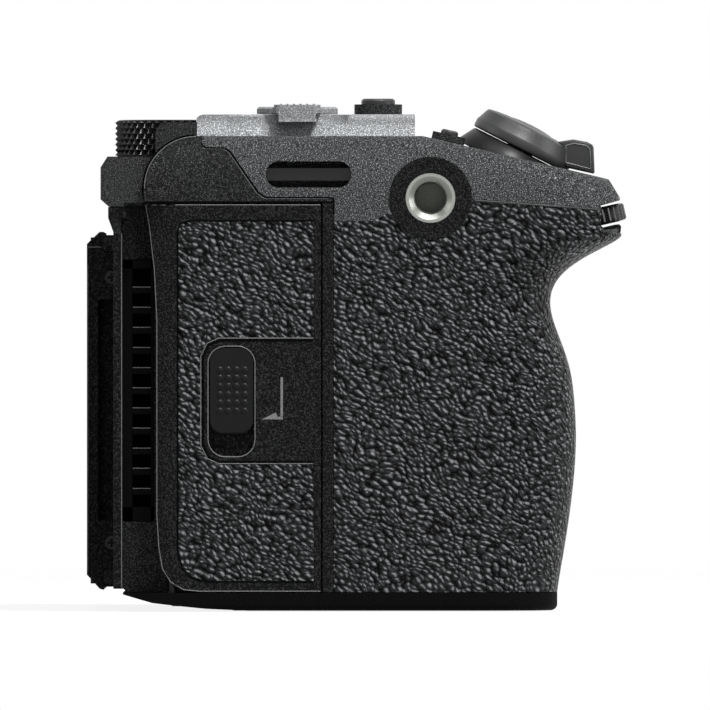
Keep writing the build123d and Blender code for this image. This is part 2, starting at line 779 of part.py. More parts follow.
    # Control panel, rear dial and sockets
    block(
        (panel_left_x, panel_space_y, panel_low_z),
        (panel_right_x, ridge_y + 1, panel_high_z),
        mode=Mode.SUBTRACT,
    )
    for side in (-1, 1):
        lug_z = joystick_z + side * (joystick_ring_radius + 0.3 + joystick_lug / 2)
        block(
            (joystick_x - joystick_lug, panel_space_y - 0.5, lug_z - joystick_lug / 2),
            (joystick_x + joystick_lug, panel_y - panel_plate - 0.1, lug_z + joystick_lug / 2),
        )
    lug_end = joystick_ring_radius + 0.3 + joystick_lug
    drum(joystick_upright_axis, joystick_pin + run_gap, -lug_end - 1, lug_end + 1, mode=Mode.SUBTRACT)
    drum(wheel_axis, wheel_hub, panel_space_y - 0.5, panel_y + 0.2)
    drum(wheel_axis, centre_radius + run_gap, panel_space_y, panel_y + 1, mode=Mode.SUBTRACT)
    drum(dial_axis, rear_dial_radius + 0.5, rear_dial_low_z - 0.2, deck_z + 1, mode=Mode.SUBTRACT)
    drum(dial_axis, 2 + run_gap, rear_dial_low_z - 4, rear_dial_low_z, mode=Mode.SUBTRACT)
    drum(port_socket, insert_radius + 1.6, -insert_depth - 0.4, -1)
    drum(port_socket, insert_radius + run_gap, -insert_depth - 1, 1, mode=Mode.SUBTRACT)
    for socket_x, socket_y in top_sockets:
        drum(Plane((socket_x, socket_y, deck_z)), insert_radius + run_gap, -4, 1, mode=Mode.SUBTRACT)
rear_casing.part.label = "rear_casing"
export_step(rear_casing.part, "parts/rear_casing.step")


# Card door, its leather, its lock slider and the two pivots that it turns and slides on
door_curve_y = 23.9
door_curve_radius = 6.0
door_hollow = ((3.0, 7.0), (22.6, door_top_z - 4.0))
lock_middle_y = (lock_slot_y[0] + lock_slot_y[1]) / 2
lock_low_z = lock_slot_z[1] - lock_height
lock_middle_z = lock_low_z + lock_height / 2
lock_round = 1.8


def leather_field(inset, depth):
    """The door's leather: a rounded field, open at the front round a plain island."""
    with BuildPart() as field:
        with BuildSketch(Plane.YZ.offset(grip_side_x)) as outline:
            with Locations(((patch_front_y + patch_rear_y) / 2, (patch_bottom_z + patch_top_z) / 2)):
                Rectangle(
                    patch_rear_y - patch_front_y - 2 * inset,
                    patch_top_z - patch_bottom_z - 2 * inset,
                )
            fillet(outline.vertices().sort_by_distance((patch_rear_y, patch_bottom_z))[0], patch_heel)
            fillet(outline.vertices().sort_by_distance((patch_rear_y, patch_top_z))[0], 1.6)
            with Locations(((patch_front_y + island_rear_y) / 2, (island_low_z + island_high_z) / 2)):
                Rectangle(
                    island_rear_y - patch_front_y + 2 * inset,
                    island_high_z - island_low_z + 2 * inset,
                    mode=Mode.SUBTRACT,
                )
            for z in (island_low_z, island_high_z):
                fillet(outline.vertices().sort_by_distance((island_rear_y, z))[0], 2.6)
        extrude(amount=depth)
    return field.part


def lock_form(inset, height, low, high, mode=Mode.ADD):
    """The lock slider's rounded outline as a plate between two depths behind the door's face."""
    with BuildSketch(looking_grip(lock_middle_y, lock_slot_z[1] - height / 2)) as outline:
        RectangleRounded(
            lock_slot_y[1] - lock_slot_y[0] - 2 * inset, height - 2 * inset, lock_round - inset
        )
    plate = extrude(outline.sketch, amount=-(high - low), mode=Mode.PRIVATE)
    with Locations((low, 0, 0)):
        add(plate, mode=mode)


door_pivot_plane = Plane((pivot_x, pivot_y, 0))

with BuildPart() as card_door:
    side_prism(
        [
            (door_front_y, door_bottom_z),
            (door_front_y, door_top_z),
            (door_tip_y, door_top_z),
            (door_tip_y - 0.7, door_top_z - 3.5),
            (door_rear_y + 0.4, door_top_z - 10.0),
            (door_rear_y, door_top_z - 18.0),
            (door_rear_y, door_bottom_z + 12.0),
            (door_rear_y - 0.5, door_bottom_z),
        ],
        grip_side_x,
        grip_side_x + door_thickness,
    )
    heel = card_door.edges().filter_by(Axis.X).sort_by_distance((grip_side_x, door_rear_y, door_bottom_z))[0]
    fillet(heel, door_heel)
    with BuildSketch() as door_plan:
        with BuildLine():
            curve = CenterArc((grip_side_x + door_curve_radius, door_curve_y), door_curve_radius, 180, -60)
            Polyline(
                curve @ 1,
                (grip_side_x + door_thickness, (curve @ 1).Y),
                (grip_side_x + door_thickness, door_front_y),
                (grip_side_x, door_front_y),
                curve @ 0,
            )
        make_face()
    extrude(amount=door_top_z + 1, mode=Mode.INTERSECT)
    add(leather_field(0, patch_depth), mode=Mode.SUBTRACT)
    block(
        (grip_side_x + door_skin, door_hollow[0][0], door_hollow[0][1]),
        (grip_side_x + door_thickness + 1, door_hollow[1][0], door_hollow[1][1]),
        mode=Mode.SUBTRACT,
    )
    lock_form(0, lock_slot_z[1] - lock_slot_z[0], 0, lock_slot_depth, mode=Mode.SUBTRACT)
    stem_way = lock_stem / 2 + run_gap
    block(
        (grip_side_x, lock_middle_y - stem_way, lock_middle_z - lock_travel - stem_way),
        (grip_side_x + door_skin + 1, lock_middle_y + stem_way, lock_middle_z + stem_way),
        mode=Mode.SUBTRACT,
    )
    pivot_bore = pivot_radius + run_gap
    drum(door_pivot_plane, pivot_bore, door_top_z - pivot_depth, door_top_z + 1, mode=Mode.SUBTRACT)
    drum(door_pivot_plane, pivot_bore, 0, door_bottom_z + pivot_depth + 1.5, mode=Mode.SUBTRACT)
card_door.part.label = "card_door"
export_step(card_door.part, "parts/card_door.step")

with BuildPart() as door_leather:
    add(leather_field(glue, patch_depth - glue))
door_leather.part.label = "door_leather"
export_step(door_leather.part, "parts/door_leather.step")

with BuildPart() as door_lock:
    lock_form(run_gap, lock_height, 0, lock_slot_depth - 0.1)
    block(
        (grip_side_x + lock_slot_depth - 0.2, lock_middle_y - lock_stem / 2, lock_middle_z - lock_stem / 2),
        (grip_side_x + door_skin + 0.3, lock_middle_y + lock_stem / 2, lock_middle_z + lock_stem / 2),
    )
    block(
        (grip_side_x + door_skin + 0.1, lock_middle_y - 2.2, lock_middle_z - 3.5),
        (grip_side_x + door_thickness - 0.1, lock_middle_y + 2.2, lock_middle_z + 3.5),
    )
door_lock.part.label = "door_lock"
export_step(door_lock.part, "parts/door_lock.step")

with BuildPart() as door_pivots:
    drum(door_pivot_plane, pivot_radius, door_top_z - pivot_depth + 0.1, door_recess_high_z + pivot_reach)
    drum(door_pivot_plane, pivot_radius, base_top - pivot_reach, door_bottom_z + pivot_depth + 1.4)
door_pivots.part.label = "door_pivots"
export_step(door_pivots.part, "parts/door_pivots.step")


# Cooling vent: a frame with sloping slats
with BuildPart() as vent_grille:
    block(
        (channel_x, channel_front_y + seam, vent_low_z),
        (channel_x + vent_frame - seam, channel_rear_y - seam, vent_high_z),
    )
    block(
        (channel_x - 1, vent_window_y[0] + 0.1, vent_window_z[0] + 0.1),
        (channel_x + vent_frame, vent_window_y[1] - 0.1, vent_window_z[1] - 0.1),
        mode=Mode.SUBTRACT,
    )
    for k in range(slat_count):
        slat_z = slat_first_z - slat_pitch * k
        with BuildSketch(Plane.XZ.offset(-vent_window_y[1] + 0.05)) as slat:
            with BuildLine():
                Polyline(
                    (channel_x + 0.1, slat_z),
                    (channel_x + vent_depth, slat_z + 1.2),
                    (channel_x + vent_depth, slat_z + 1.2 - slat_thickness),
                    (channel_x + 0.1, slat_z - slat_thickness),
                    close=True,
                )
            make_face()
        extrude(slat.sketch, amount=vent_window_y[1] - vent_window_y[0] - 0.1)
vent_grille.part.label = "vent_grille"
export_step(vent_grille.part, "parts/vent_grille.step")


# Thumb rest and rear dial
with BuildPart() as thumb_rest:
    side_prism(
        [
            (upper_rear_y + seam, thumb_low_z),
            (thumb_y - 1.25, thumb_low_z),
            (thumb_y, thumb_low_z + 1.1),
            (thumb_y, thumb_high_z - 1.7),
            (thumb_y - 1.1, thumb_high_z),
            (upper_rear_y + seam, thumb_high_z),
        ],
        thumb_left_x,
        thumb_right_x,
    )
    thumb_ends = thumb_rest.edges().filter_by(Axis.Z).filter_by(lambda edge: edge.center().Y > thumb_y - 0.1)
    fillet(thumb_ends, radius=1.6)
    tip_way(thumb_low_z - 1, door_recess_high_z)
thumb_rest.part.label = "thumb_rest"
export_step(thumb_rest.part, "parts/thumb_rest.step")

with BuildPart() as rear_dial:
    toothed_drum(dial_axis, rear_dial_radius, 0.35, rear_dial_teeth, rear_dial_low_z + 0.5, rear_dial_high_z)
    drum(dial_axis, rear_dial_radius, rear_dial_low_z, rear_dial_low_z + 0.5)
    chamfer(rear_dial.faces().sort_by(Axis.Z)[-1].edges(), length=0.3)
    drum(dial_axis, 2, rear_dial_low_z - 3.8, rear_dial_low_z)
rear_dial.part.label = "rear_dial"
export_step(rear_dial.part, "parts/rear_dial.step")


# Top plate with the accessory shoe, the power switch and the record button
plate_low_z = deck_z + seam
shoe_half = shoe_foot / 2 + shoe_wall
shoe_floor_z = plate_high_z - shoe_lip - shoe_foot_height
record_axis = Plane((record_x, record_y, 0))
switch_axis = Plane((switch_x, switch_y, 0))
tongue_inner = switch_x - plate_left_x + 0.35

with BuildPart() as top_plate:
    with BuildSketch(Plane.XY.offset(plate_low_z)) as plate_outline:
        with Locations(((plate_left_x + plate_right_x) / 2, (front_y + plate_rear_y) / 2)):
            Rectangle(plate_right_x - plate_left_x, plate_rear_y - front_y)
        fillet(plate_outline.vertices().group_by(Axis.Y)[-1], 3.0)
    extrude(amount=plate_high_z - plate_low_z)
    plate_rim = top_plate.faces().sort_by(Axis.Z)[-1].edges().filter_by(
        lambda edge: edge.center().Y > front_y + 0.1
    )
    fillet(plate_rim, radius=edge_radius)
    block(
        (-shoe_half - 0.05, shoe_front_y - 0.05, shoe_floor_z - 0.6),
        (shoe_half + 0.05, plate_rear_y + 1, plate_high_z + 1),
        mode=Mode.SUBTRACT,
    )
    for socket_x, socket_y in top_sockets:
        socket_axis = Plane((socket_x, socket_y, 0))
        drum(socket_axis, insert_radius + run_gap, plate_low_z - 1, plate_high_z + 1, mode=Mode.SUBTRACT)
    drum(dial_axis, rear_dial_radius + 0.5, plate_low_z - 1, plate_high_z + 1, mode=Mode.SUBTRACT)
    drum(record_axis, record_radius + 0.2, plate_high_z - 2.6, plate_high_z + 1, mode=Mode.SUBTRACT)
    for key_x in top_key_x:
        drum(key_plane(key_x), top_key_collar + fit_gap, -1, plate_high_z - deck_z + 4, mode=Mode.SUBTRACT)
    drum(switch_axis, 2 + run_gap, plate_high_z - 2.9, plate_high_z + 1, mode=Mode.SUBTRACT)
    with BuildSketch(Plane.XY.offset(plate_high_z - 1.5)) as switch_way:
        with Locations((switch_x, switch_y)):
            Circle(tongue_inner + 3)
            Circle(tongue_inner - 0.25, mode=Mode.SUBTRACT)
        with Locations((switch_x, switch_y)):
            Rectangle(2 * tongue_inner + 6, 30, align=(Align.MIN, Align.CENTER), mode=Mode.SUBTRACT)
    extrude(amount=3, mode=Mode.SUBTRACT)
top_plate.part.label = "top_plate"
export_step(top_plate.part, "parts/top_plate.step")

with BuildPart() as accessory_shoe:
    block((-shoe_half, shoe_front_y, shoe_floor_z - 0.55), (shoe_half, plate_rear_y, plate_high_z))
    block(
        (-shoe_foot / 2 - 0.15, shoe_front_y + 2.0, shoe_floor_z),
        (shoe_foot / 2 + 0.15, plate_rear_y + 1, shoe_floor_z + shoe_foot_height),
        mode=Mode.SUBTRACT,
    )
    block(
        (-shoe_gap / 2, shoe_front_y + 2.0, shoe_floor_z),
        (shoe_gap / 2, plate_rear_y + 1, plate_high_z + 1),
        mode=Mode.SUBTRACT,
    )
accessory_shoe.part.label = "accessory_shoe"
export_step(accessory_shoe.part, "parts/accessory_shoe.step")

with BuildPart() as power_switch:
    drum(switch_axis, switch_radius, plate_high_z + 0.1, switch_high_z)
    chamfer(power_switch.faces().sort_by(Axis.Z)[-1].edges(), length=0.3)
    with BuildSketch(Plane.XY.offset(plate_high_z + 0.1)) as tongue:
        with Locations((switch_x, switch_y)):
            Rectangle(tongue_inner + 1.6, switch_tongue, align=(Align.MAX, Align.CENTER))
        fillet(tongue.vertices().group_by(Axis.X)[0], 1.2)
    extrude(amount=switch_high_z + 0.3 - plate_high_z - 0.1)
    with BuildSketch(Plane.XY.offset(plate_high_z - 1.2)) as lip:
        with Locations((switch_x, switch_y)):
            Rectangle(tongue_inner + 1.6, switch_tongue - 1.4, align=(Align.MAX, Align.CENTER))
            Circle(tongue_inner, mode=Mode.SUBTRACT)
        with Locations((switch_x, switch_y)):
            Rectangle(tongue_inner, 30, align=(Align.MIN, Align.CENTER), mode=Mode.SUBTRACT)
    extrude(amount=1.4)
    drum(switch_axis, 2, plate_high_z - 2.8, plate_high_z + 0.2)
power_switch.part.label = "power_switch"
export_step(power_switch.part, "parts/power_switch.step")

with BuildPart() as record_button:
    drum(record_axis, record_radius, plate_high_z - 1.4, record_high_z)
    chamfer(record_button.faces().sort_by(Axis.Z)[-1].edges(), length=0.3)
record_button.part.label = "record_button"
export_step(record_button.part, "parts/record_button.step")

with BuildPart() as button_collars:
    drum(record_axis, record_collar_radius, plate_high_z + 0.02, record_collar_z)
    drum(record_axis, record_radius + 0.2, plate_high_z - 1, record_collar_z + 1, mode=Mode.SUBTRACT)
    for key_x in top_key_x:
        drum(key_plane(key_x), top_key_collar, 0.06, 1.2)
        drum(key_plane(key_x), top_key_collar - 0.45, -1.9, 0.1)
        drum(key_plane(key_x), top_key_radius + fit_gap, -3, 2, mode=Mode.SUBTRACT)
button_collars.part.label = "button_collars"
export_step(button_collars.part, "parts/button_collars.step")

for number, key_x in enumerate(top_key_x, start=1):
    with BuildPart() as top_key:
        drum(key_plane(key_x), top_key_radius, -1.2, 1.9)
        chamfer(top_key.faces().sort_by(Axis.Z)[-1].edges(), length=0.25)
    top_key.part.label = f"top_key_{number}"
    export_step(top_key.part, f"parts/top_key_{number}.step")


# Zoom lever, shutter button and front dial
with BuildPart() as zoom_lever:
    drum(lever_plane, lever_radius, 0, lever_band)
    cone(lever_plane, lever_radius, lever_radius - 2.2, lever_band, lever_height)
    side_prism(
        [
            (lever_y - 4.6, lever_z - 0.9),
            (lever_y - 7.1, lever_z - 2.9),
            (lever_y - 11.6, lever_z - 3.8),
            (lever_y - 11.4, lever_z + 0.4),
            (lever_y - 10.4, lever_z + 1.2),
            (lever_y - 8.3, lever_z + 1.55),
            (lever_y - 6.0, lever_z + 1.2),
            (lever_y - 4.6, lever_z + 0.9),
        ],
        control_x - 3.6,
        control_x + 3.6,
    )
    drum(lever_plane, shutter_radius + fit_gap, 1.0, lever_height + 3, mode=Mode.SUBTRACT)
    drum(lever_plane, 2.2, -3.8, 0)
zoom_lever.part.label = "zoom_lever"
export_step(zoom_lever.part, "parts/zoom_lever.step")

with BuildPart() as shutter_button:
    drum(lever_plane, shutter_radius, 1.0 + shutter_press + 0.1, lever_height + 0.4)
    fillet(shutter_button.edges().filter_by(GeomType.CIRCLE).sort_by(Axis.Z)[-1], radius=0.8)
shutter_button.part.label = "shutter_button"
export_step(shutter_button.part, "parts/shutter_button.step")

with BuildPart() as front_dial:
    half = front_dial_height / 2
    toothed_drum(front_dial_plane, front_dial_radius, 0.4, front_dial_teeth, -half, half)
    drum(front_dial_plane, dial_pin, -half - 1.2, half + 2)
front_dial.part.label = "front_dial"
export_step(front_dial.part, "parts/front_dial.step")


# Lens mount: claw ring, throat with its contact block, lock pin and release button
contact_radius = 21.8
contact_count = 10
throat_outer = 25.2
throat_inner = 23.6
image_window = (39.0, 27.0)


def ring_sector(plane, inner, outer, start, span):
    """A slice of a ring, drawn on a plane."""
    with BuildSketch(plane) as ring_slice:
        with BuildLine():
            outer_arc = CenterArc((0, 0), outer, start, span)
            inner_arc = CenterArc((0, 0), inner, start, span)
            Line(outer_arc @ 0, inner_arc @ 0)
            Line(outer_arc @ 1, inner_arc @ 1)
        make_face()
    return ring_slice.sketch


with BuildPart() as mount_ring:
    drum(mount_axis, mount_radius, boss_face, flange)
    drum(mount_axis, spigot_radius, boss_face - spigot_length, boss_face)
    drum(mount_axis, mount_bore, boss_face - spigot_length - 1, flange + 1, mode=Mode.SUBTRACT)
    drum(mount_axis, lead_bore, flange - lead_depth, flange + 1, mode=Mode.SUBTRACT)
    for claw in range(claw_count):
        claw_plane = mount_axis.offset(flange - claw_depth - claw_plate)
        claw_start = 100 + 360 / claw_count * claw
        claw_face = ring_sector(claw_plane, throat_radius, mount_bore + 0.3, claw_start, claw_span)
        extrude(claw_face, amount=claw_plate)
    for screw_plane in mount_screw_planes:
        drum(screw_plane, screw_shank + run_gap, boss_face - 1, flange + 1, mode=Mode.SUBTRACT)
        drum(screw_plane, screw_head + run_gap, flange - screw_sunk, flange + 1, mode=Mode.SUBTRACT)
    lock_pin_bore = lock_pin_radius + run_gap
    drum(lock_pin_plane, lock_pin_bore, boss_face - spigot_length - 1, flange + 1, mode=Mode.SUBTRACT)
mount_ring.part.label = "mount_ring"
export_step(mount_ring.part, "parts/mount_ring.step")

with BuildPart() as mount_throat:
    throat_high = boss_face - spigot_length - 0.2
    drum(mount_axis, throat_outer, 4.3, throat_high)
    drum(mount_axis, throat_inner, 5.5, throat_high + 1, mode=Mode.SUBTRACT)
    with BuildSketch(mount_axis.offset(3)) as window:
        RectangleRounded(*image_window, 1.5)
    extrude(window.sketch, amount=4, mode=Mode.SUBTRACT)
    contact_plane = mount_axis.offset(throat_high - 2.5)
    contact_face = ring_sector(contact_plane, contact_radius - 1.6, throat_inner + 0.2, 235, 70)
    extrude(contact_face, amount=2.5)
    contact_step = ring_sector(contact_plane, contact_radius - 1.6, throat_inner - 0.1, 235, 70)
    extrude(contact_step, amount=4.3)
    for contact in range(contact_count):
        angle = radians(241 + 58 / (contact_count - 1) * contact)
        pin_plane = looking_front(contact_radius * cos(angle), axis_z + contact_radius * sin(angle))
        drum(pin_plane, 0.45, throat_high, throat_high + 2.3)
mount_throat.part.label = "mount_throat"
export_step(mount_throat.part, "parts/mount_throat.step")

with BuildPart() as release_button:
    drum(release_plane, release_radius, -front_inside_y - 0.5, -front_y + release_rise)
    fillet(release_button.edges().filter_by(GeomType.CIRCLE).sort_by(Axis.Y)[0], radius=0.6)
    drum(release_plane, release_radius + 0.7, -front_inside_y - release_skirt, -front_inside_y - 0.15)
release_button.part.label = "release_button"
export_step(release_button.part, "parts/release_button.step")

with BuildPart() as lock_pin:
    drum(lock_pin_plane, lock_pin_radius, -front_inside_y - 0.8, flange + lock_pin_rise)
    chamfer(lock_pin.edges().filter_by(GeomType.CIRCLE).sort_by(Axis.Y)[0], length=0.3)
lock_pin.part.label = "lock_pin"
export_step(lock_pin.part, "parts/lock_pin.step")


# Sensor on its shifting stage
plate_front_y = 3.2
plate_thickness = 1.2
stage_gap = 0.35
carriage_y = plate_front_y - stage_gap - 1.2  # front face of the shifting carriage
sensor_frame = (42.0, 31.0)
sensor_glass = (37.0, 25.2)
carriage_size = (56.0, 42.0)
carriage_window = (40.0, 24.0)
carriage_plate = 1.2

with BuildPart() as stage_plate:
    block(
        (casing_left_x + wall + 0.15, plate_front_y, casing_low_z + 3.3),
        (43.5, plate_front_y + plate_thickness, deck_z - wall - 4),
    )
    block((-11, plate_front_y - 1, axis_z - 8), (11, plate_front_y + 3, axis_z + 8), mode=Mode.SUBTRACT)
stage_plate.part.label = "stage_plate"
export_step(stage_plate.part, "parts/stage_plate.step")

with BuildPart() as sensor_carriage:
    half_x, half_z = carriage_size[0] / 2, carriage_size[1] / 2
    block((-half_x, carriage_y, axis_z - half_z), (half_x, carriage_y + carriage_plate, axis_z + half_z))
    half_x, half_z = carriage_window[0] / 2, carriage_window[1] / 2
    block(
        (-half_x, carriage_y - 1, axis_z - half_z),
        (half_x, carriage_y + 3, axis_z + half_z),
        mode=Mode.SUBTRACT,
    )
    carriage_corners = sensor_carriage.edges().filter_by(Axis.Y).filter_by(
        lambda edge: abs(edge.center().X) > carriage_window[0] / 2 + 1
    )
    fillet(carriage_corners, radius=3.0)
sensor_carriage.part.label = "sensor_carriage"
export_step(sensor_carriage.part, "parts/sensor_carriage.step")

with BuildPart() as sensor_unit:
    sensor_rear = carriage_y - stage_gap
    block(
        (-sensor_frame[0] / 2, sensor_rear - 2.2, axis_z - sensor_frame[1] / 2),
        (sensor_frame[0] / 2, sensor_rear, axis_z + sensor_frame[1] / 2),
    )
    block(
        (-sensor_glass[0] / 2, sensor_rear - 3.4, axis_z - sensor_glass[1] / 2),
        (sensor_glass[0] / 2, sensor_rear - 2.2, axis_z + sensor_glass[1] / 2),
    )
sensor_unit.part.label = "sensor_unit"
export_step(sensor_unit.part, "parts/sensor_unit.step")


# Main board, heat sink, fan with its duct, and the card slots
board_y = 12.0
board_thickness = 1.6
board_low_z = 7.0
board_high_z = deck_z - 12.2
board_right_x = 49.0
card_slots_end_x = -37.5
board_left_x = card_slots_end_x + 0.5
board_post = 1.5
chip_rise = 1.2
chips = (((-14, 30), (6, 50)), ((12, 32), (24, 46)), ((12, 14), (28, 24)), ((-34, 36), (-22, 52)))
sink_y = board_y + board_thickness + chip_rise + 0.1
sink_plate = 1.5
fin_count = 11
fan_x = 5.0
fan_z = 36.0
fan_half = 16.0
fan_front_y = 20.9
fan_rear_y = 27.2
fan_wall = 1.0
rotor_radius = fan_half - fan_wall - 1.6
rotor_hub = 5.5
rotor_pin = 1.0
blade_count = 9
duct_front_y = fan_front_y
duct_rear_y = 26.1
duct_wall = 0.8
sink_x = (fan_x - 23.0, fan_x + 21.0)
sink_z = (fan_z - 16.0, fan_z + 18.0)
fin_half = 0.4

with BuildPart() as main_board:
    block((board_left_x, board_y, board_low_z), (board_right_x, board_y + board_thickness, board_high_z))
    block(
        (board_left_x - 1, board_y - 1, board_low_z - 1),
        (board_left_x + 7, board_y + 3, board_low_z + 7),
        mode=Mode.SUBTRACT,
    )
    for low, high in chips:
        block(
            (low[0], board_y + board_thickness, low[1]),
            (high[0], board_y + board_thickness + chip_rise, high[1]),
        )
    post_places = (
        (board_left_x + 2, board_high_z - 4),
        (board_right_x - 9, board_high_z - 4),
        (board_left_x + 11, board_low_z + 3),
        (board_right_x - 9, board_low_z + 3),
    )
    for post_x, post_z in post_places:
        post = looking_front(post_x, post_z, board_y)
        drum(post, board_post, 0, board_y - plate_front_y - plate_thickness - 0.1)
main_board.part.label = "main_board"
export_step(main_board.part, "parts/main_board.step")

with BuildPart() as heat_sink:
    block((sink_x[0], sink_y, sink_z[0]), (sink_x[1], sink_y + sink_plate, sink_z[1]))
    for k in range(fin_count):
        fin_x = sink_x[0] + 1 + (sink_x[1] - sink_x[0] - 2) / (fin_count - 1) * k
        block(
            (fin_x - fin_half, sink_y + sink_plate, sink_z[0]),
            (fin_x + fin_half, fan_front_y - 0.3, sink_z[1]),
        )
heat_sink.part.label = "heat_sink"
export_step(heat_sink.part, "parts/heat_sink.step")

fan_axis = looking_rear(fan_x, fan_z)
with BuildPart() as fan_housing:
    block(
        (fan_x - fan_half, fan_front_y, fan_z - fan_half),
        (fan_x + fan_half, fan_rear_y, fan_z + fan_half),
    )
    block(
        (well_x + 1.7, duct_front_y, duct_low_z + 0.3),
        (fan_x - fan_half + 0.5, duct_rear_y, duct_high_z - 0.3),
    )
    block(
        (well_x + 1, duct_front_y + duct_wall, duct_low_z + 0.3 + duct_wall),
        (fan_x - fan_half - duct_wall, duct_rear_y - duct_wall, duct_high_z - 0.3 - duct_wall),
        mode=Mode.SUBTRACT,
    )
    drum(fan_axis, fan_half - fan_wall, fan_front_y + fan_wall, fan_rear_y - fan_wall, mode=Mode.SUBTRACT)
    drum(fan_axis, rotor_radius - 3.9, fan_rear_y - 2, fan_rear_y + 1, mode=Mode.SUBTRACT)
    block(
        (fan_x - fan_half - 2, fan_front_y + fan_wall, fan_z),
        (fan_x, duct_rear_y - duct_wall, fan_z + fan_half - fan_wall),
        mode=Mode.SUBTRACT,
    )
    drum(fan_axis, rotor_pin, fan_front_y, fan_front_y + 4)
fan_housing.part.label = "fan_housing"
export_step(fan_housing.part, "parts/fan_housing.step")

with BuildPart() as fan_rotor:
    drum(fan_axis, rotor_hub, fan_front_y + fan_wall + 0.3, fan_rear_y - fan_wall - 0.4)
    for k in range(blade_count):
        with BuildSketch(fan_axis.offset(fan_front_y + fan_wall + 0.5)) as blade:
            with PolarLocations(0, 1, start_angle=360 / blade_count * k):
                with Locations(((rotor_radius + rotor_hub - 0.7) / 2, 0)):
                    Rectangle(rotor_radius - rotor_hub + 0.7, 0.9, rotation=12)
        extrude(blade.sketch, amount=fan_rear_y - fan_front_y - 2 * fan_wall - 1.2)
    drum(fan_axis, rotor_pin + run_gap, fan_front_y, fan_front_y + 4.2, mode=Mode.SUBTRACT)
fan_rotor.part.label = "fan_rotor"
export_step(fan_rotor.part, "parts/fan_rotor.step")

card_slot_height = (card_mouth_high[1] - card_mouth_low[1] - 1.6) / 2
card_slot_gap = 2.8
card_slot_y = card_mouth_low[0] + 1.8
with BuildPart() as card_slots:
    block(
        (inner_wall_x + 0.1, card_mouth_low[0] - 0.8, card_mouth_low[1] - 0.9),
        (card_slots_end_x, card_rear_y - 0.2, card_mouth_high[1] + 0.9),
    )
    middle_z = (card_mouth_low[1] + card_mouth_high[1]) / 2
    for low_z in (middle_z - 0.5 - card_slot_height, middle_z + 0.5):
        block(
            (inner_wall_x - 1, card_slot_y, low_z),
            (card_slots_end_x - 2.5, card_slot_y + card_slot_gap, low_z + card_slot_height),
            mode=Mode.SUBTRACT,
        )
card_slots.part.label = "card_slots"
export_step(card_slots.part, "parts/card_slots.step")


# Battery, its door and the door's latch
hinge_door_y = door_hole_high[1] - 1.3
hinge_door_z = battery_door_thickness / 2
latch_y = (battery_front_y + 0.5, battery_front_y + 4.5)
latch_x = (battery_x - 5.0, battery_x + 5.0)
latch_travel = 2.0
latch_depth = 1.2

with BuildPart() as battery:
    block(
        (battery_left_x, battery_front_y, battery_low_z),
        (battery_right_x, battery_rear_y, battery_high_z),
    )
    fillet(battery.edges().filter_by(Axis.Z), radius=1.5)
battery.part.label = "battery"
export_step(battery.part, "parts/battery.step")

door_hinge_plane = Plane(origin=(0, hinge_door_y, hinge_door_z), x_dir=(0, 1, 0), z_dir=(1, 0, 0))
with BuildPart() as battery_door:
    block(
        (door_hole_low[0] + fit_gap, door_hole_low[1] + fit_gap, 0),
        (door_hole_high[0] - fit_gap, hinge_door_y, battery_door_thickness),
    )
    front_corners = battery_door.edges().filter_by(Axis.Z).group_by(Axis.Y)[0]
    fillet(front_corners, radius=1.5)
    drum(
        door_hinge_plane,
        battery_door_thickness / 2,
        door_hole_low[0] + fit_gap,
        door_hole_high[0] - fit_gap,
    )
    block(
        (latch_x[0] - 0.1, latch_y[0] - 0.1, -1),
        (latch_x[1] + 0.1, latch_y[1] + latch_travel + 0.1, latch_depth + 0.1),
        mode=Mode.SUBTRACT,
    )
battery_door.part.label = "battery_door"
export_step(battery_door.part, "parts/battery_door.step")

with BuildPart() as battery_latch:
    block((latch_x[0], latch_y[0], 0.1), (latch_x[1], latch_y[1], latch_depth))
battery_latch.part.label = "battery_latch"
export_step(battery_latch.part, "parts/battery_latch.step")


# Screw sockets, the ring of the side socket, strap bars and screws
with BuildPart() as thread_inserts:
    tripod_socket = Plane(origin=(0, 0, 0), x_dir=(1, 0, 0), z_dir=(0, 0, -1))
    mouth_planes = [(side_socket, side_insert_rise), (port_socket, 0.0)]
    mouth_planes += [(Plane((x, y, plate_high_z)), 0.0) for x, y in top_sockets]
    for plane, rise in mouth_planes + [(tripod_socket, 0.0)]:
        drum(plane, insert_radius, -insert_depth, rise)
    for plane, rise in mouth_planes:
        cone(plane, socket_radius, socket_mouth, rise - mouth_depth, rise, mode=Mode.SUBTRACT)
    for plane, rise in mouth_planes + [(tripod_socket, 0.0)]:
        drum(plane, socket_radius, -insert_depth - 1, rise + 1, mode=Mode.SUBTRACT)
thread_inserts.part.label = "thread_inserts"
export_step(thread_inserts.part, "parts/thread_inserts.step")

with BuildPart() as socket_ring:
    drum(side_socket, collar_radius, -2.9, 0.15)
    drum(side_socket, insert_radius + run_gap, -4, 1, mode=Mode.SUBTRACT)
socket_ring.part.label = "socket_ring"
export_step(socket_ring.part, "parts/socket_ring.step")

with BuildPart() as strap_bars:
    for plane in (grip_strap, port_strap):
        bar_length = strap_slot_length + 2 * strap_bar_seat - 2 * run_gap
        with BuildSketch(plane.offset(-strap_bar_inset - run_gap)) as bar:
            Rectangle(bar_length, strap_bar_height - 2 * run_gap)
        extrude(bar.sketch, amount=-strap_bar_depth + 2 * run_gap)
strap_bars.part.label = "strap_bars"
export_step(strap_bars.part, "parts/strap_bars.step")

with BuildPart() as screws:
    for screw_plane in mount_screw_planes:
        drum(screw_plane, screw_head, flange - screw_sunk + 0.05, flange)
        drum(screw_plane, screw_shank, boss_face - 3.9, flange - 0.1)
    for x, y in base_screws:
        drum(Plane((x, y, 0)), screw_head, 0.1, screw_sunk)
        drum(Plane((x, y, 0)), screw_shank, 0.2, screw_boss_z - 2.2)
screws.part.label = "screws"
export_step(screws.part, "parts/screws.step")


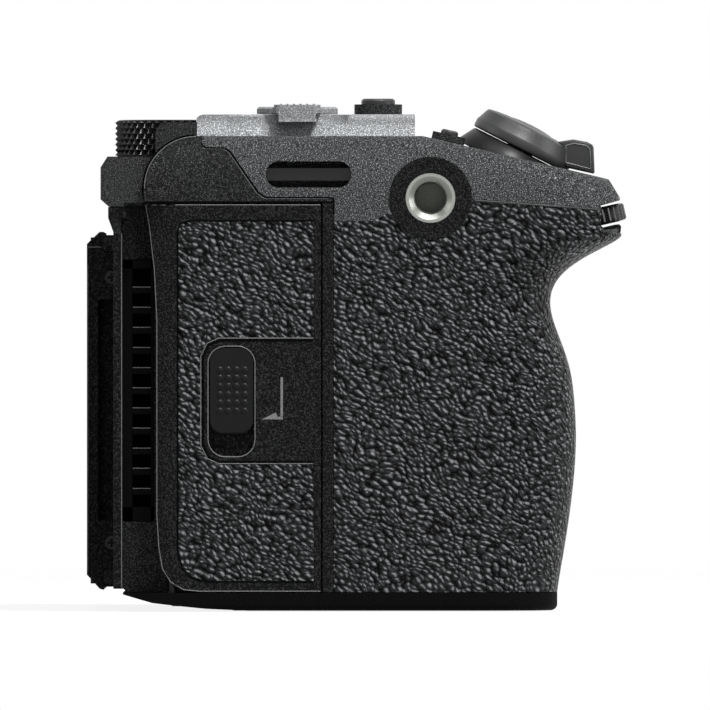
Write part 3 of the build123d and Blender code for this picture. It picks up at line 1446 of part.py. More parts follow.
# Rear control panel with its wheel, keys and joystick
key_places = {
    "menu_key": (-34.5, 51.0, 2.4),
    "focus_key": (-60.0, 51.5, 3.0),
    "function_key": (-60.5, 41.0, 2.4),
    "playback_key": (-58.5, 11.0, 2.4),
    "delete_key": (-35.5, 11.0, 2.4),
}
joystick_hole = 3.9
panel_back_y = panel_y - panel_plate

with BuildPart() as control_panel:
    block(
        (panel_left_x + seam, panel_back_y, panel_low_z + seam),
        (panel_right_x - seam, panel_y, panel_high_z - seam),
    )
    drum(wheel_axis, wheel_radius + fit_gap, panel_back_y - 1, panel_y + 1, mode=Mode.SUBTRACT)
    drum(joystick_axis, joystick_hole, panel_back_y - 1, panel_y + 1, mode=Mode.SUBTRACT)
    for key_x, key_z, key_radius in key_places.values():
        key_axis = looking_rear(key_x, key_z)
        drum(key_axis, key_radius + fit_gap, panel_back_y - 1, panel_y + 1, mode=Mode.SUBTRACT)
control_panel.part.label = "control_panel"
export_step(control_panel.part, "parts/control_panel.step")

for key_name, (key_x, key_z, key_radius) in key_places.items():
    with BuildPart() as key:
        key_axis = looking_rear(key_x, key_z)
        drum(key_axis, key_radius, panel_back_y - 0.3, panel_y + key_rise)
        chamfer(key.faces().sort_by(Axis.Y)[-1].edges(), length=0.25)
        drum(key_axis, key_radius + key_flange, panel_back_y - 0.9, panel_back_y - 0.2)
    key.part.label = key_name
    export_step(key.part, f"parts/{key_name}.step")

with BuildPart() as control_wheel:
    drum(wheel_axis, wheel_radius, panel_space_y + 0.4, panel_y + 1.6)
    wheel_edge = control_wheel.faces().sort_by(Axis.Y)[-1].edges()
    chamfer(wheel_edge, length=0.6)
    drum(wheel_axis, wheel_hub + run_gap, panel_space_y, panel_y + 3, mode=Mode.SUBTRACT)
control_wheel.part.label = "control_wheel"
export_step(control_wheel.part, "parts/control_wheel.step")

with BuildPart() as centre_button:
    drum(wheel_axis, centre_radius, panel_space_y + 0.8, panel_y + 1.2)
    chamfer(centre_button.faces().sort_by(Axis.Y)[-1].edges(), length=0.4)
centre_button.part.label = "centre_button"
export_step(centre_button.part, "parts/centre_button.step")

with BuildPart() as joystick_ring:
    drum(joystick_axis, joystick_ring_radius, joystick_y - 0.5, joystick_y + 0.5)
    drum(joystick_upright_axis, joystick_pin, -lug_end + 0.1, lug_end - 0.1)
    drum(joystick_axis, joystick_ring_radius - 1.0, joystick_y - 1, joystick_y + 1, mode=Mode.SUBTRACT)
    cross_end = joystick_ring_radius - 0.3
    drum(joystick_cross_axis, joystick_pin + run_gap / 2, -cross_end, cross_end, mode=Mode.SUBTRACT)
joystick_ring.part.label = "joystick_ring"
export_step(joystick_ring.part, "parts/joystick_ring.step")

with BuildPart() as joystick_stem:
    drum(joystick_axis, joystick_ring_radius - 1.3, joystick_y - 0.45, joystick_y + 0.45)
    drum(joystick_cross_axis, joystick_pin, -cross_end + 0.1, cross_end - 0.1)
    drum(joystick_axis, 0.9, joystick_y, joystick_y + 3.2)
joystick_stem.part.label = "joystick_stem"
export_step(joystick_stem.part, "parts/joystick_stem.step")

with BuildPart() as joystick_cap:
    drum(joystick_axis, 2.7, joystick_y + 1.9, joystick_y + 4.5)
    chamfer(joystick_cap.faces().sort_by(Axis.Y)[-1].edges(), length=0.5)
    drum(joystick_axis, 0.9 + run_gap, joystick_y, joystick_y + 3.9, mode=Mode.SUBTRACT)
joystick_cap.part.label = "joystick_cap"
export_step(joystick_cap.part, "parts/joystick_cap.step")


# Monitor with its bracket, hinge block and screen
hinge_y = (screen_front_y + screen_rear_y) / 2
hinge_radius = (screen_rear_y - screen_front_y) / 2
turn_z = (screen_low_z + screen_high_z) / 2
ear_low_z = 3.4
ear_high_z = screen_high_z - 0.6
swing_axis = Plane((swing_x, hinge_y, 0))
turn_axis = Plane(origin=(hinge_left_x, hinge_y, turn_z), x_dir=(0, 1, 0), z_dir=(-1, 0, 0))
hinge_gap = 0.3
bracket_left_x = 44.5

with BuildPart() as monitor_bracket:
    block(
        (bracket_left_x, rear_y + 0.02, ear_low_z),
        (port_side_x - corner_radius, rear_y + 0.5, ear_high_z),
    )
    ears = (
        (ear_low_z, ear_low_z + hinge_ear_height),
        (ear_high_z - hinge_ear_height, ear_high_z),
    )
    for low_z, high_z in ears:
        block((bracket_left_x, rear_y + 0.02, low_z), (swing_x - 0.9, screen_rear_y, high_z))
        drum(swing_axis, hinge_radius, low_z, high_z)
    drum(swing_axis, hinge_pin_radius, ear_low_z, ear_high_z)
monitor_bracket.part.label = "monitor_bracket"
export_step(monitor_bracket.part, "parts/monitor_bracket.step")

with BuildPart() as monitor_hinge:
    block_low_z = ear_low_z + hinge_ear_height + hinge_gap
    block_high_z = ear_high_z - hinge_ear_height - hinge_gap
    block((hinge_left_x, screen_front_y, block_low_z), (swing_x, screen_rear_y, block_high_z))
    block_edges = monitor_hinge.edges().filter_by(Axis.Z).group_by(Axis.X)[0]
    chamfer(block_edges, length=0.5)
    drum(swing_axis, hinge_radius, block_low_z, block_high_z)
    drum(swing_axis, hinge_pin_radius + run_gap, 0, deck_z, mode=Mode.SUBTRACT)
    drum(turn_axis, turn_pin_radius, -2, hinge_left_x - screen_right_x + turn_pin_length)
monitor_hinge.part.label = "monitor_hinge"
export_step(monitor_hinge.part, "parts/monitor_hinge.step")

glass_inset = 3.0
with BuildPart() as monitor:
    side_prism(
        [
            (screen_front_y, screen_low_z + 0.5),
            (hinge_y, screen_low_z + 0.5),
            (hinge_y, screen_low_z),
            (screen_rear_y - 2.0, screen_low_z + 0.2),
            (screen_rear_y, screen_low_z + 2.4),
            (screen_rear_y, screen_high_z - 1.9),
            (screen_rear_y - 2.0, screen_high_z),
            (hinge_y, screen_high_z),
            (hinge_y, screen_high_z - 0.5),
            (screen_front_y, screen_high_z - 0.5),
        ],
        screen_left_x,
        screen_right_x,
    )
    block(
        (screen_left_x - 1, screen_front_y + 0.9, screen_low_z + 11.0),
        (screen_left_x + 1.6, screen_rear_y - 1.8, screen_high_z - 10.7),
        mode=Mode.SUBTRACT,
    )
    block(
        (screen_left_x + glass_inset, screen_rear_y - glass_depth, screen_low_z + glass_inset + 1.5),
        (screen_right_x - glass_inset, screen_rear_y + 1, screen_high_z - glass_inset - 1.5),
        mode=Mode.SUBTRACT,
    )
    drum(
        turn_axis,
        turn_pin_radius + run_gap,
        0,
        hinge_left_x - screen_right_x + turn_pin_length + 0.2,
        mode=Mode.SUBTRACT,
    )
monitor.part.label = "monitor"
export_step(monitor.part, "parts/monitor.step")

with BuildPart() as monitor_glass:
    glass_edge = glass_inset + 0.05
    block(
        (screen_left_x + glass_edge, screen_rear_y - glass_depth + 0.02, screen_low_z + glass_edge + 1.5),
        (screen_right_x - glass_edge, screen_rear_y - 0.05, screen_high_z - glass_edge - 1.5),
    )
monitor_glass.part.label = "monitor_glass"
export_step(monitor_glass.part, "parts/monitor_glass.step")


# Port doors and the connector block behind them
port_inner_x = port_side_x - port_door_thickness
port_block_x = (44.2, port_side_x - port_wall - 0.1)
port_cuts = (  # height, tall, wide
    (port_upper_z[0] + 3.5, 7.0, 3.2),
    (port_upper_z[1] - 6.0, 9.0, 6.0),
    (port_lower_z[0] + 4.5, 3.2, 9.0),
    (port_lower_z[1] - 6.5, 5.8, 8.5),
)

for door_name, (low_z, high_z) in (("port_door_upper", port_upper_z), ("port_door_lower", port_lower_z)):
    with BuildPart() as port_door:
        block(
            (port_inner_x, port_hole_y[0] + fit_gap, low_z + fit_gap),
            (port_side_x, port_hole_y[1] - port_pin_inset, high_z - fit_gap),
        )
        fillet(port_door.edges().filter_by(Axis.X).group_by(Axis.Y)[0], radius=1.0)
        drum(port_pin_plane, port_door_thickness / 2, low_z + fit_gap, high_z - fit_gap)
        drum(port_pin_plane, port_pin_radius - run_gap, low_z - 1.0, high_z + 1.0)
    port_door.part.label = door_name
    export_step(port_door.part, f"parts/{door_name}.step")

with BuildPart() as port_block:
    block(
        (port_block_x[0], port_hole_y[0] - 1.0, port_lower_z[0] - 1.0),
        (port_block_x[1], port_hole_y[1] + 1.0, port_upper_z[1] + 1.0),
    )
    for port_z, port_height, port_width in port_cuts:
        port_plane = looking_port((port_hole_y[0] + port_hole_y[1]) / 2, port_z, port_block_x[1])
        with BuildSketch(port_plane) as port:
            RectangleRounded(port_width, port_height, min(port_width, port_height) * 0.3)
        extrude(port.sketch, amount=-5.5, mode=Mode.SUBTRACT)
port_block.part.label = "port_block"
export_step(port_block.part, "parts/port_block.step")
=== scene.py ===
"""Dresses a compact cinema camera: paint, leather, knurled dial, prints, screws and studio."""
from math import cos, hypot, pi, radians, sin, sqrt

import bpy
from mathutils import Matrix, Vector


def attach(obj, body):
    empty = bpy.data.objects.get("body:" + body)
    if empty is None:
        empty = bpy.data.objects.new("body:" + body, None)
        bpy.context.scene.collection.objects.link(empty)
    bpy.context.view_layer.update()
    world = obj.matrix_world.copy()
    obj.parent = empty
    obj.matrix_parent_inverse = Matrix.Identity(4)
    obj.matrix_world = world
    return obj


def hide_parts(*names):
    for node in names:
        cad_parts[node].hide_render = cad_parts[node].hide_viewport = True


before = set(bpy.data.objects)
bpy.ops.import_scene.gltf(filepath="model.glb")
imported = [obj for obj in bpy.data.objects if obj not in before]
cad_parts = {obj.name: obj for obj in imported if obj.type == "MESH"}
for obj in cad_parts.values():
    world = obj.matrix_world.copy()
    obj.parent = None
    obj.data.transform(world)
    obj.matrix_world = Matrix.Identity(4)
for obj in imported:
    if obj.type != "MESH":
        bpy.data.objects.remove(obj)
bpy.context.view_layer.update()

MM = 0.001

# The photograph shows the grip side square on, 6.40 of its points to a millimetre
photo_width = 710
photo_scale = 6.40
grip_face_x = -76.0
view_distance = 5000.0
view_middle = ((330.0 - photo_width / 2) / photo_scale, (610.8 - photo_width / 2) / photo_scale)
sensor_width = 36.0

camera_data = bpy.data.cameras.new("camera")
camera_data.sensor_width = sensor_width
camera_data.lens = sensor_width * view_distance / (photo_width / photo_scale)
camera_data.clip_start = 0.1
camera_data.clip_end = 50.0
camera = bpy.data.objects.new("camera", camera_data)
camera.location = (
    (grip_face_x - view_distance) * MM,
    view_middle[0] * MM,
    view_middle[1] * MM,
)
camera.rotation_euler = (pi / 2, 0, -pi / 2)
bpy.context.scene.collection.objects.link(camera)
bpy.context.scene.camera = camera


class Signal:
    """A node's output that takes part in sums."""

    def __init__(self, finish, socket):
        self.finish = finish
        self.socket = socket

    def math(self, operation, *values, clamp=False):
        settings = {"operation": operation, "use_clamp": clamp}
        return self.finish.node("ShaderNodeMath", settings, dict(enumerate(values)))

    def __add__(self, other):
        return self.math("ADD", self, other)

    def __sub__(self, other):
        return self.math("SUBTRACT", self, other)

    def __rsub__(self, other):
        return self.math("SUBTRACT", other, self)

    def __mul__(self, other):
        return self.math("MULTIPLY", self, other)

    def __truediv__(self, other):
        return self.math("DIVIDE", self, other)

    __radd__ = __add__
    __rmul__ = __mul__

    def held(self):
        """The value, kept between 0 and 1."""
        return self.math("ADD", self, 0.0, clamp=True)

    def positive(self):
        """The value, or 0 where it is below 0."""
        return self.math("MAXIMUM", self, 0.0)


class Finish:
    """A material, or the world, and the nodes that make it."""

    def __init__(self, name, owner=None):
        self.owner = owner or bpy.data.materials.new(name)
        self.owner.use_nodes = True
        self.tree = self.owner.node_tree
        self.tree.nodes.clear()

    def node(self, kind, settings=None, inputs=None, output=0):
        """Adds a node: its settings first, then the values or links of its sockets."""
        made = self.tree.nodes.new(kind)
        for key, value in (settings or {}).items():
            setattr(made, key, value)
        for key, value in (inputs or {}).items():
            if isinstance(value, Signal):
                self.tree.links.new(value.socket, made.inputs[key])
            else:
                made.inputs[key].default_value = value
        return Signal(self, made.outputs[output]) if made.outputs else None

    def vector(self, operation, *values):
        """A sum on places, part by part."""
        return self.node("ShaderNodeVectorMath", {"operation": operation}, dict(enumerate(values)))

    def place(self, stretch=(1.0, 1.0, 1.0)):
        """Where a point lies on the piece, in millimetres."""
        where = self.node("ShaderNodeTexCoord", output="Object")
        return self.vector("MULTIPLY", where, tuple(1000.0 * s for s in stretch))

    def height_of(self, where):
        return self.node("ShaderNodeSeparateXYZ", None, {0: where}, output=2)

    def noise(self, where, scale, detail, rough=0.5):
        inputs = {"Vector": where, "Scale": scale, "Detail": detail, "Roughness": rough}
        return self.node("ShaderNodeTexNoise", None, inputs)

    def shifted(self, where, scale, reach):
        """The place, pushed about by a noise, so that a pattern on it wanders."""
        inputs = {"Vector": where, "Scale": scale, "Detail": 2.0}
        push = self.node("ShaderNodeTexNoise", None, inputs, output="Color")
        middle = self.vector("SUBTRACT", push, (0.5, 0.5, 0.5))
        return self.vector("ADD", where, self.vector("MULTIPLY", middle, (reach, reach, reach)))

    def cells(self, where, scale, feature):
        """An uneven cell pattern: how far a point is from a cell's middle, or from its wall."""
        settings = {"feature": feature, "voronoi_dimensions": "3D"}
        return self.node("ShaderNodeTexVoronoi", settings, {"Vector": where, "Scale": scale})

    def ramp(self, value, low, high):
        """A soft step from 0 at low to 1 at high."""
        settings = {"interpolation_type": "SMOOTHSTEP"}
        return self.node("ShaderNodeMapRange", settings, {0: value, 1: low, 2: high})

    def tint(self, mask, dark, light):
        """A colour between two, by a mask."""
        if not isinstance(light, Signal):
            light = (*light, 1)
        inputs = {0: mask, 6: (*dark, 1), 7: light}
        return self.node("ShaderNodeMix", {"data_type": "RGBA"}, inputs, output=2)

    def soft_edges(self, radius):
        """A normal that rounds the piece's edges."""
        return self.node("ShaderNodeBevel", {"samples": 4}, {"Radius": radius * MM})

    def relief(self, height, depth, below=None):
        inputs = {"Strength": 1.0, "Distance": depth * MM, "Height": height}
        if below is not None:
            inputs["Normal"] = below
        return self.node("ShaderNodeBump", None, inputs)

    def shader(self, **inputs):
        """A coated or bare surface. Underscores stand for the blanks in its sockets' names."""
        named = {key.replace("_", " "): value for key, value in inputs.items()}
        return self.node("ShaderNodeBsdfPrincipled", None, named)

    def mixed(self, mask, first, second):
        return self.node("ShaderNodeMixShader", None, {0: mask, 1: first, 2: second})

    def seen(self):
        """1 for the lens, straight, in polished metal or through glass, and 0 for other light."""
        kinds = ("Is Camera Ray", "Is Glossy Ray", "Is Transmission Ray")
        straight, mirrored, through = [
            self.node("ShaderNodeLightPath", output=kind) for kind in kinds
        ]
        return (straight + mirrored + through).held()

    def shown(self, shader):
        self.node("ShaderNodeOutputMaterial", None, {"Surface": shader})
        return self.owner


def rgb(value, warmth=0.0):
    """A grey with a slight lean to warm or cool."""
    return (value * (1 + warmth), value, value * (1 - warmth))


# How far each kind of finish softens a piece's edges, in millimetres
paint_edge, leather_edge, moulded_edge, fine_edge = 0.22, 0.15, 0.18, 0.1

# Paint: how gently it bulges above its crown and flares below its foot, and the painted light on
# its foot: how far up it reaches and how much paler it makes the colour
bulge_ease, flare_ease = 16.0, 4.5
foot_height, painted_foot_gain = 2.6, 1.9


def paint(name, dark, light, grain, depth, rough, shine, crown=None, foot=None):
    """Textured paint: uneven pimples over dull hollows.

    Above the height crown it bulges softly. Below the height foot it flares, and its colour is
    painted paler there, as painted light on the flare.
    """
    finish = Finish(name)
    where = finish.place()
    peaks = finish.ramp(finish.noise(where, grain, 2.0, 0.6), 0.44, 0.64)
    pits = finish.ramp(finish.noise(where, grain * 0.45, 1.0), 0.30, 0.42)
    height = peaks * 0.7 + pits * 0.3
    if crown is not None:
        over = (finish.height_of(where) - crown).positive()
        height = height - over * over / (bulge_ease * depth)
    if foot is not None:
        rise = finish.height_of(where)
        under = (foot - rise).positive()
        height = height + under * under / (flare_ease * depth)
        # Painted light: below the foot the peaks' colour grows paler, standing in for the light on
        # the flare
        pale = tuple(painted_foot_gain * c for c in light)
        light = finish.tint(finish.ramp(rise, foot, foot - foot_height), light, pale)
    relief = finish.relief(height, depth, finish.soft_edges(paint_edge))
    hollow = finish.shader(
        Base_Color=(*dark, 1), Roughness=0.8, Specular_IOR_Level=0.05, Normal=relief
    )
    raised = finish.shader(
        Base_Color=finish.tint(peaks, dark, light),
        Roughness=rough + 0.15 * (1.0 - peaks),
        Specular_IOR_Level=shine,
        Normal=relief,
    )
    polish = (pits * (0.25 + 0.75 * peaks)).held()
    return finish.shown(finish.mixed(polish, hollow, raised))


def hide(name, dark, light, shine):
    """Wrinkled leather: small round folds in slanting rows, with painted highlights on their upper
    slopes and painted shade in their valleys.
    """
    finish = Finish(name)
    turn = {"Vector": finish.place(), "Angle": -0.5}
    slanted = finish.node("ShaderNodeVectorRotate", {"rotation_type": "X_AXIS"}, turn)
    flowing = finish.shifted(slanted, 0.16, 2.6)
    grain = finish.shifted(finish.vector("MULTIPLY", flowing, (1.1, 1.0, 1.55)), 1.5, 0.3)
    rolls = finish.noise(finish.vector("MULTIPLY", flowing, (0.6, 0.25, 0.8)), 1.0, 2.0)
    skin = finish.noise(flowing, 4.5, 3.0, 0.6)
    from_middle = finish.cells(grain, 1.0, "F1")
    raised = 1.0 - from_middle * from_middle
    height = raised + 0.6 * rolls + 0.05 * skin
    # Painted light: the colour is paler on the upper slope of each fold, a painted highlight from
    # above, and darkest in the valleys, painted shade
    higher_up = finish.vector("ADD", grain, (0.0, -0.1, 0.4))
    fall = finish.cells(higher_up, 1.0, "F1") - from_middle
    painted_rim_highlight = finish.ramp(fall, 0.06, 0.44) * finish.ramp(raised, 0.25, 0.6)
    shade = (0.1 * finish.ramp(raised, 0.35, 0.8) + 0.9 * painted_rim_highlight).held()
    return finish.shown(
        finish.shader(
            Base_Color=finish.tint(shade, dark, light),
            Roughness=0.36 - 0.12 * skin,
            Specular_IOR_Level=shine,
            Normal=finish.relief(height, 1.2, finish.soft_edges(leather_edge)),
        )
    )


def moulding(name, colour, rough, shine, grain=6.0, depth=0.012):
    """Moulded plastic or blacked metal with a fine spark finish."""
    finish = Finish(name)
    spark = finish.noise(finish.place(), grain, 2.0, 0.6)
    smear = finish.noise(finish.place(), 0.15, 2.0)
    lighter = tuple(min(1.0, 1.5 * c) for c in colour)
    return finish.shown(
        finish.shader(
            Base_Color=finish.tint(finish.ramp(spark, 0.35, 0.7), colour, lighter),
            Roughness=rough + 0.1 * (smear - 0.5),
            Specular_IOR_Level=shine,
            Normal=finish.relief(spark, depth, finish.soft_edges(moulded_edge)),
        )
    )


def turned_metal(name, colour, rough, rings):
    """Bare metal with the fine lines that a tool leaves."""
    finish = Finish(name)
    lines = finish.noise(finish.place(rings), 1.0, 3.0, 0.7)
    stain = finish.noise(finish.place(), 0.3, 2.0)
    darker = tuple(0.8 * c for c in colour)
    return finish.shown(
        finish.shader(
            Base_Color=finish.tint(lines, darker, colour),
            Metallic=1.0,
            Roughness=rough + 0.12 * (lines - 0.5) + 0.08 * (stain - 0.5),
            Normal=finish.relief(lines, 0.004, finish.soft_edges(fine_edge)),
        )
    )


def glass_plate(name, colour, rough):
    """Dark coated glass with a few faint smears."""
    finish = Finish(name)
    smear = finish.noise(finish.place(), 0.12, 3.0, 0.6)
    return finish.shown(
        finish.shader(
            Base_Color=finish.tint(smear, tuple(0.8 * c for c in colour), colour),
            Roughness=rough + 0.05 * smear,
            Coat_Weight=0.6,
            Coat_Roughness=0.04,
            Normal=finish.soft_edges(fine_edge),
        )
    )


def board_green(name):
    """Circuit board lacquer over copper tracks."""
    finish = Finish(name)
    tracks = finish.cells(finish.place((0.5, 1.0, 0.5)), 0.9, "DISTANCE_TO_EDGE")
    lacquer = finish.ramp(tracks, 0.03, 0.06)
    return finish.shown(
        finish.shader(
            Base_Color=finish.tint(lacquer, (0.05, 0.16, 0.06), (0.012, 0.06, 0.028)),
            Roughness=0.35 + 0.1 * lacquer,
            Normal=finish.relief(lacquer, 0.02),
        )
    )


# Paint: hollow and peak colours, pimples to a millimetre, depth, roughness, shine
cool = -0.03
casing_colours = rgb(0.012, cool), rgb(0.055, cool)
casing_paint = paint("casing_paint", *casing_colours, 5.0, 0.14, 0.3, 0.14)
# Paint of the grip casing: casing_paint with paler peaks, painted light from above on the grip's
# top shell
lit_crown_colours = rgb(0.014, cool), rgb(0.13, cool)
lit_crown_paint = paint("lit_crown_paint", *lit_crown_colours, 5.0, 0.14, 0.3, 0.2, crown=64.5)
rear_colours = rgb(0.004, cool), rgb(0.03, cool)
rear_paint = paint("rear_paint", *rear_colours, 4.6, 0.14, 0.3, 0.12, crown=66.5)
door_paint = paint("door_paint", rgb(0.0015, -0.02), rgb(0.013, -0.02), 3.6, 0.1, 0.42, 0.09)
base_paint = paint("base_paint", rgb(0.0006, -0.02), rgb(0.002, -0.02), 4.0, 0.06, 0.5, 0.02)
top_paint = paint("top_paint", rgb(0.15, cool), rgb(0.32, cool), 5.0, 0.06, 0.38, 0.4, foot=77.2)
leather = hide("leather", rgb(0.001, -0.04), rgb(0.125, -0.04), 0.05)

# Plastic, blacked metal and print: colour, roughness, shine, sparks to a millimetre, depth
control_plastic = moulding("control_plastic", rgb(0.012, -0.02), 0.38, 0.35)
slider_plastic = moulding("slider_plastic", rgb(0.003, -0.02), 0.34, 0.1, 5.0, 0.01)
rough_plastic = moulding("rough_plastic", rgb(0.003, -0.02), 0.5, 0.09, 4.0, 0.03)
vent_plastic = moulding("vent_plastic", rgb(0.001), 0.55, 0.03, 4.0, 0.02)
gloss_plastic = moulding("gloss_plastic", rgb(0.004), 0.18, 0.4, 3.0, 0.004)
black_metal = moulding("black_metal", rgb(0.005), 0.3, 0.22, 7.0, 0.008)
ring_black = moulding("ring_black", rgb(0.003), 0.45, 0.1, 5.0, 0.02)
# Pale grey of the rods that are painted highlights along edges
highlight_grey = moulding("highlight_grey", rgb(0.07, -0.02), 0.4, 0.3, 5.0, 0.01)
# Near black for dark joints and grooves, and for the band of painted shade round the shoulder
joint_and_shade_black = moulding("joint_and_shade_black", rgb(0.0006), 0.7, 0.02, 5.0, 0.01)
dial_gloss = moulding("dial_gloss", rgb(0.012), 0.22, 0.45, 5.0, 0.004)
# Near black of the sheet of painted shade behind the vent's slats
vent_shade_black = moulding("vent_shade_black", rgb(0.0004), 0.7, 0.01, 5.0, 0.01)
insert_shade = moulding("insert_shade", (0.06, 0.068, 0.055), 0.5, 0.3, 5.0, 0.01)
print_grey = moulding("print_grey", rgb(0.08), 0.6, 0.2, 8.0, 0.004)
print_white = moulding("print_white", rgb(0.7), 0.5, 0.3, 8.0, 0.004)

# Bare metal: colour, roughness, lines to a millimetre along each axis
silver = turned_metal("silver", (0.3, 0.31, 0.285), 0.32, (0.4, 6.0, 6.0))
mount_silver = turned_metal("mount_silver", (0.72, 0.72, 0.72), 0.22, (0.6, 5.0, 0.6))
dark_steel = turned_metal("dark_steel", (0.22, 0.22, 0.23), 0.35, (3.0, 3.0, 3.0))
pivot_steel = turned_metal("pivot_steel", (0.02, 0.02, 0.021), 0.4, (3.0, 3.0, 3.0))
bare_aluminium = turned_metal("bare_aluminium", (0.6, 0.61, 0.63), 0.34, (4.0, 1.0, 0.5))
gold = turned_metal("gold", (0.83, 0.6, 0.25), 0.2, (6.0, 6.0, 6.0))

screen_glass = glass_plate("screen_glass", (0.006, 0.006, 0.008), 0.06)
sensor_glass = glass_plate("sensor_glass", (0.02, 0.045, 0.04), 0.04)
green_board = board_green("green_board")

finish_of = {
    "accessory_shoe": black_metal,
    "base": base_paint,
    "battery": rough_plastic,
    "battery_door": rough_plastic,
    "battery_latch": control_plastic,
    "button_collars": casing_paint,
    "card_door": door_paint,
    "card_slots": dark_steel,
    "centre_button": control_plastic,
    "control_panel": rough_plastic,
    "control_wheel": control_plastic,
    "delete_key": control_plastic,
    "door_leather": leather,
    "door_lock": rough_plastic,
    "door_pivots": pivot_steel,
    "fan_housing": rough_plastic,
    "fan_rotor": rough_plastic,
    "focus_key": control_plastic,
    "front_casing": casing_paint,
    "front_dial": control_plastic,
    "function_key": control_plastic,
    "grip_casing": lit_crown_paint,
    "grip_leather": leather,
    "heat_sink": bare_aluminium,
    "joystick_cap": rough_plastic,
    "joystick_ring": dark_steel,
    "joystick_stem": dark_steel,
    "lock_pin": silver,
    "main_board": green_board,
    "menu_key": control_plastic,
    "monitor": door_paint,
    "monitor_bracket": black_metal,
    "monitor_glass": screen_glass,
    "monitor_hinge": black_metal,
    "mount_ring": mount_silver,
    "mount_throat": ring_black,
    "playback_key": control_plastic,
    "port_block": gloss_plastic,
    "port_door_lower": rough_plastic,
    "port_door_upper": rough_plastic,
    "power_switch": top_paint,
    "rear_casing": rear_paint,
    "rear_dial": black_metal,
    "record_button": control_plastic,
    "release_button": black_metal,
    "screws": dark_steel,
    "sensor_carriage": bare_aluminium,
    "sensor_unit": sensor_glass,
    "shutter_button": control_plastic,
    "socket_ring": door_paint,
    "stage_plate": bare_aluminium,
    "strap_bars": black_metal,
    "thread_inserts": silver,
    "thumb_rest": casing_paint,
    "top_key_1": control_plastic,
    "top_key_2": control_plastic,
    "top_key_3": control_plastic,
    "top_plate": top_paint,
    "vent_grille": vent_plastic,
    "zoom_lever": control_plastic,
}
for node_name, finish in finish_of.items():
    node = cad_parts[node_name]
    node.data.materials.clear()
    node.data.materials.append(finish)


def stand(origin, out, up=(0, 0, 1)):
    """Axes at a point of the object: Z of the new axes points out, Y as near as it can to up."""
    out = Vector(out).normalized()
    across = Vector(up).cross(out).normalized()
    turned = Matrix((across, out.cross(across), out)).transposed().to_4x4()
    return Matrix.Translation(Vector(origin)) @ turned


# Axes for outlines drawn in Y and Z, as the photograph shows them; their depth runs along X
side_axes = Matrix(((0, 0, 1, 0), (1, 0, 0, 0), (0, 1, 0, 0), (0, 0, 0, 1)))


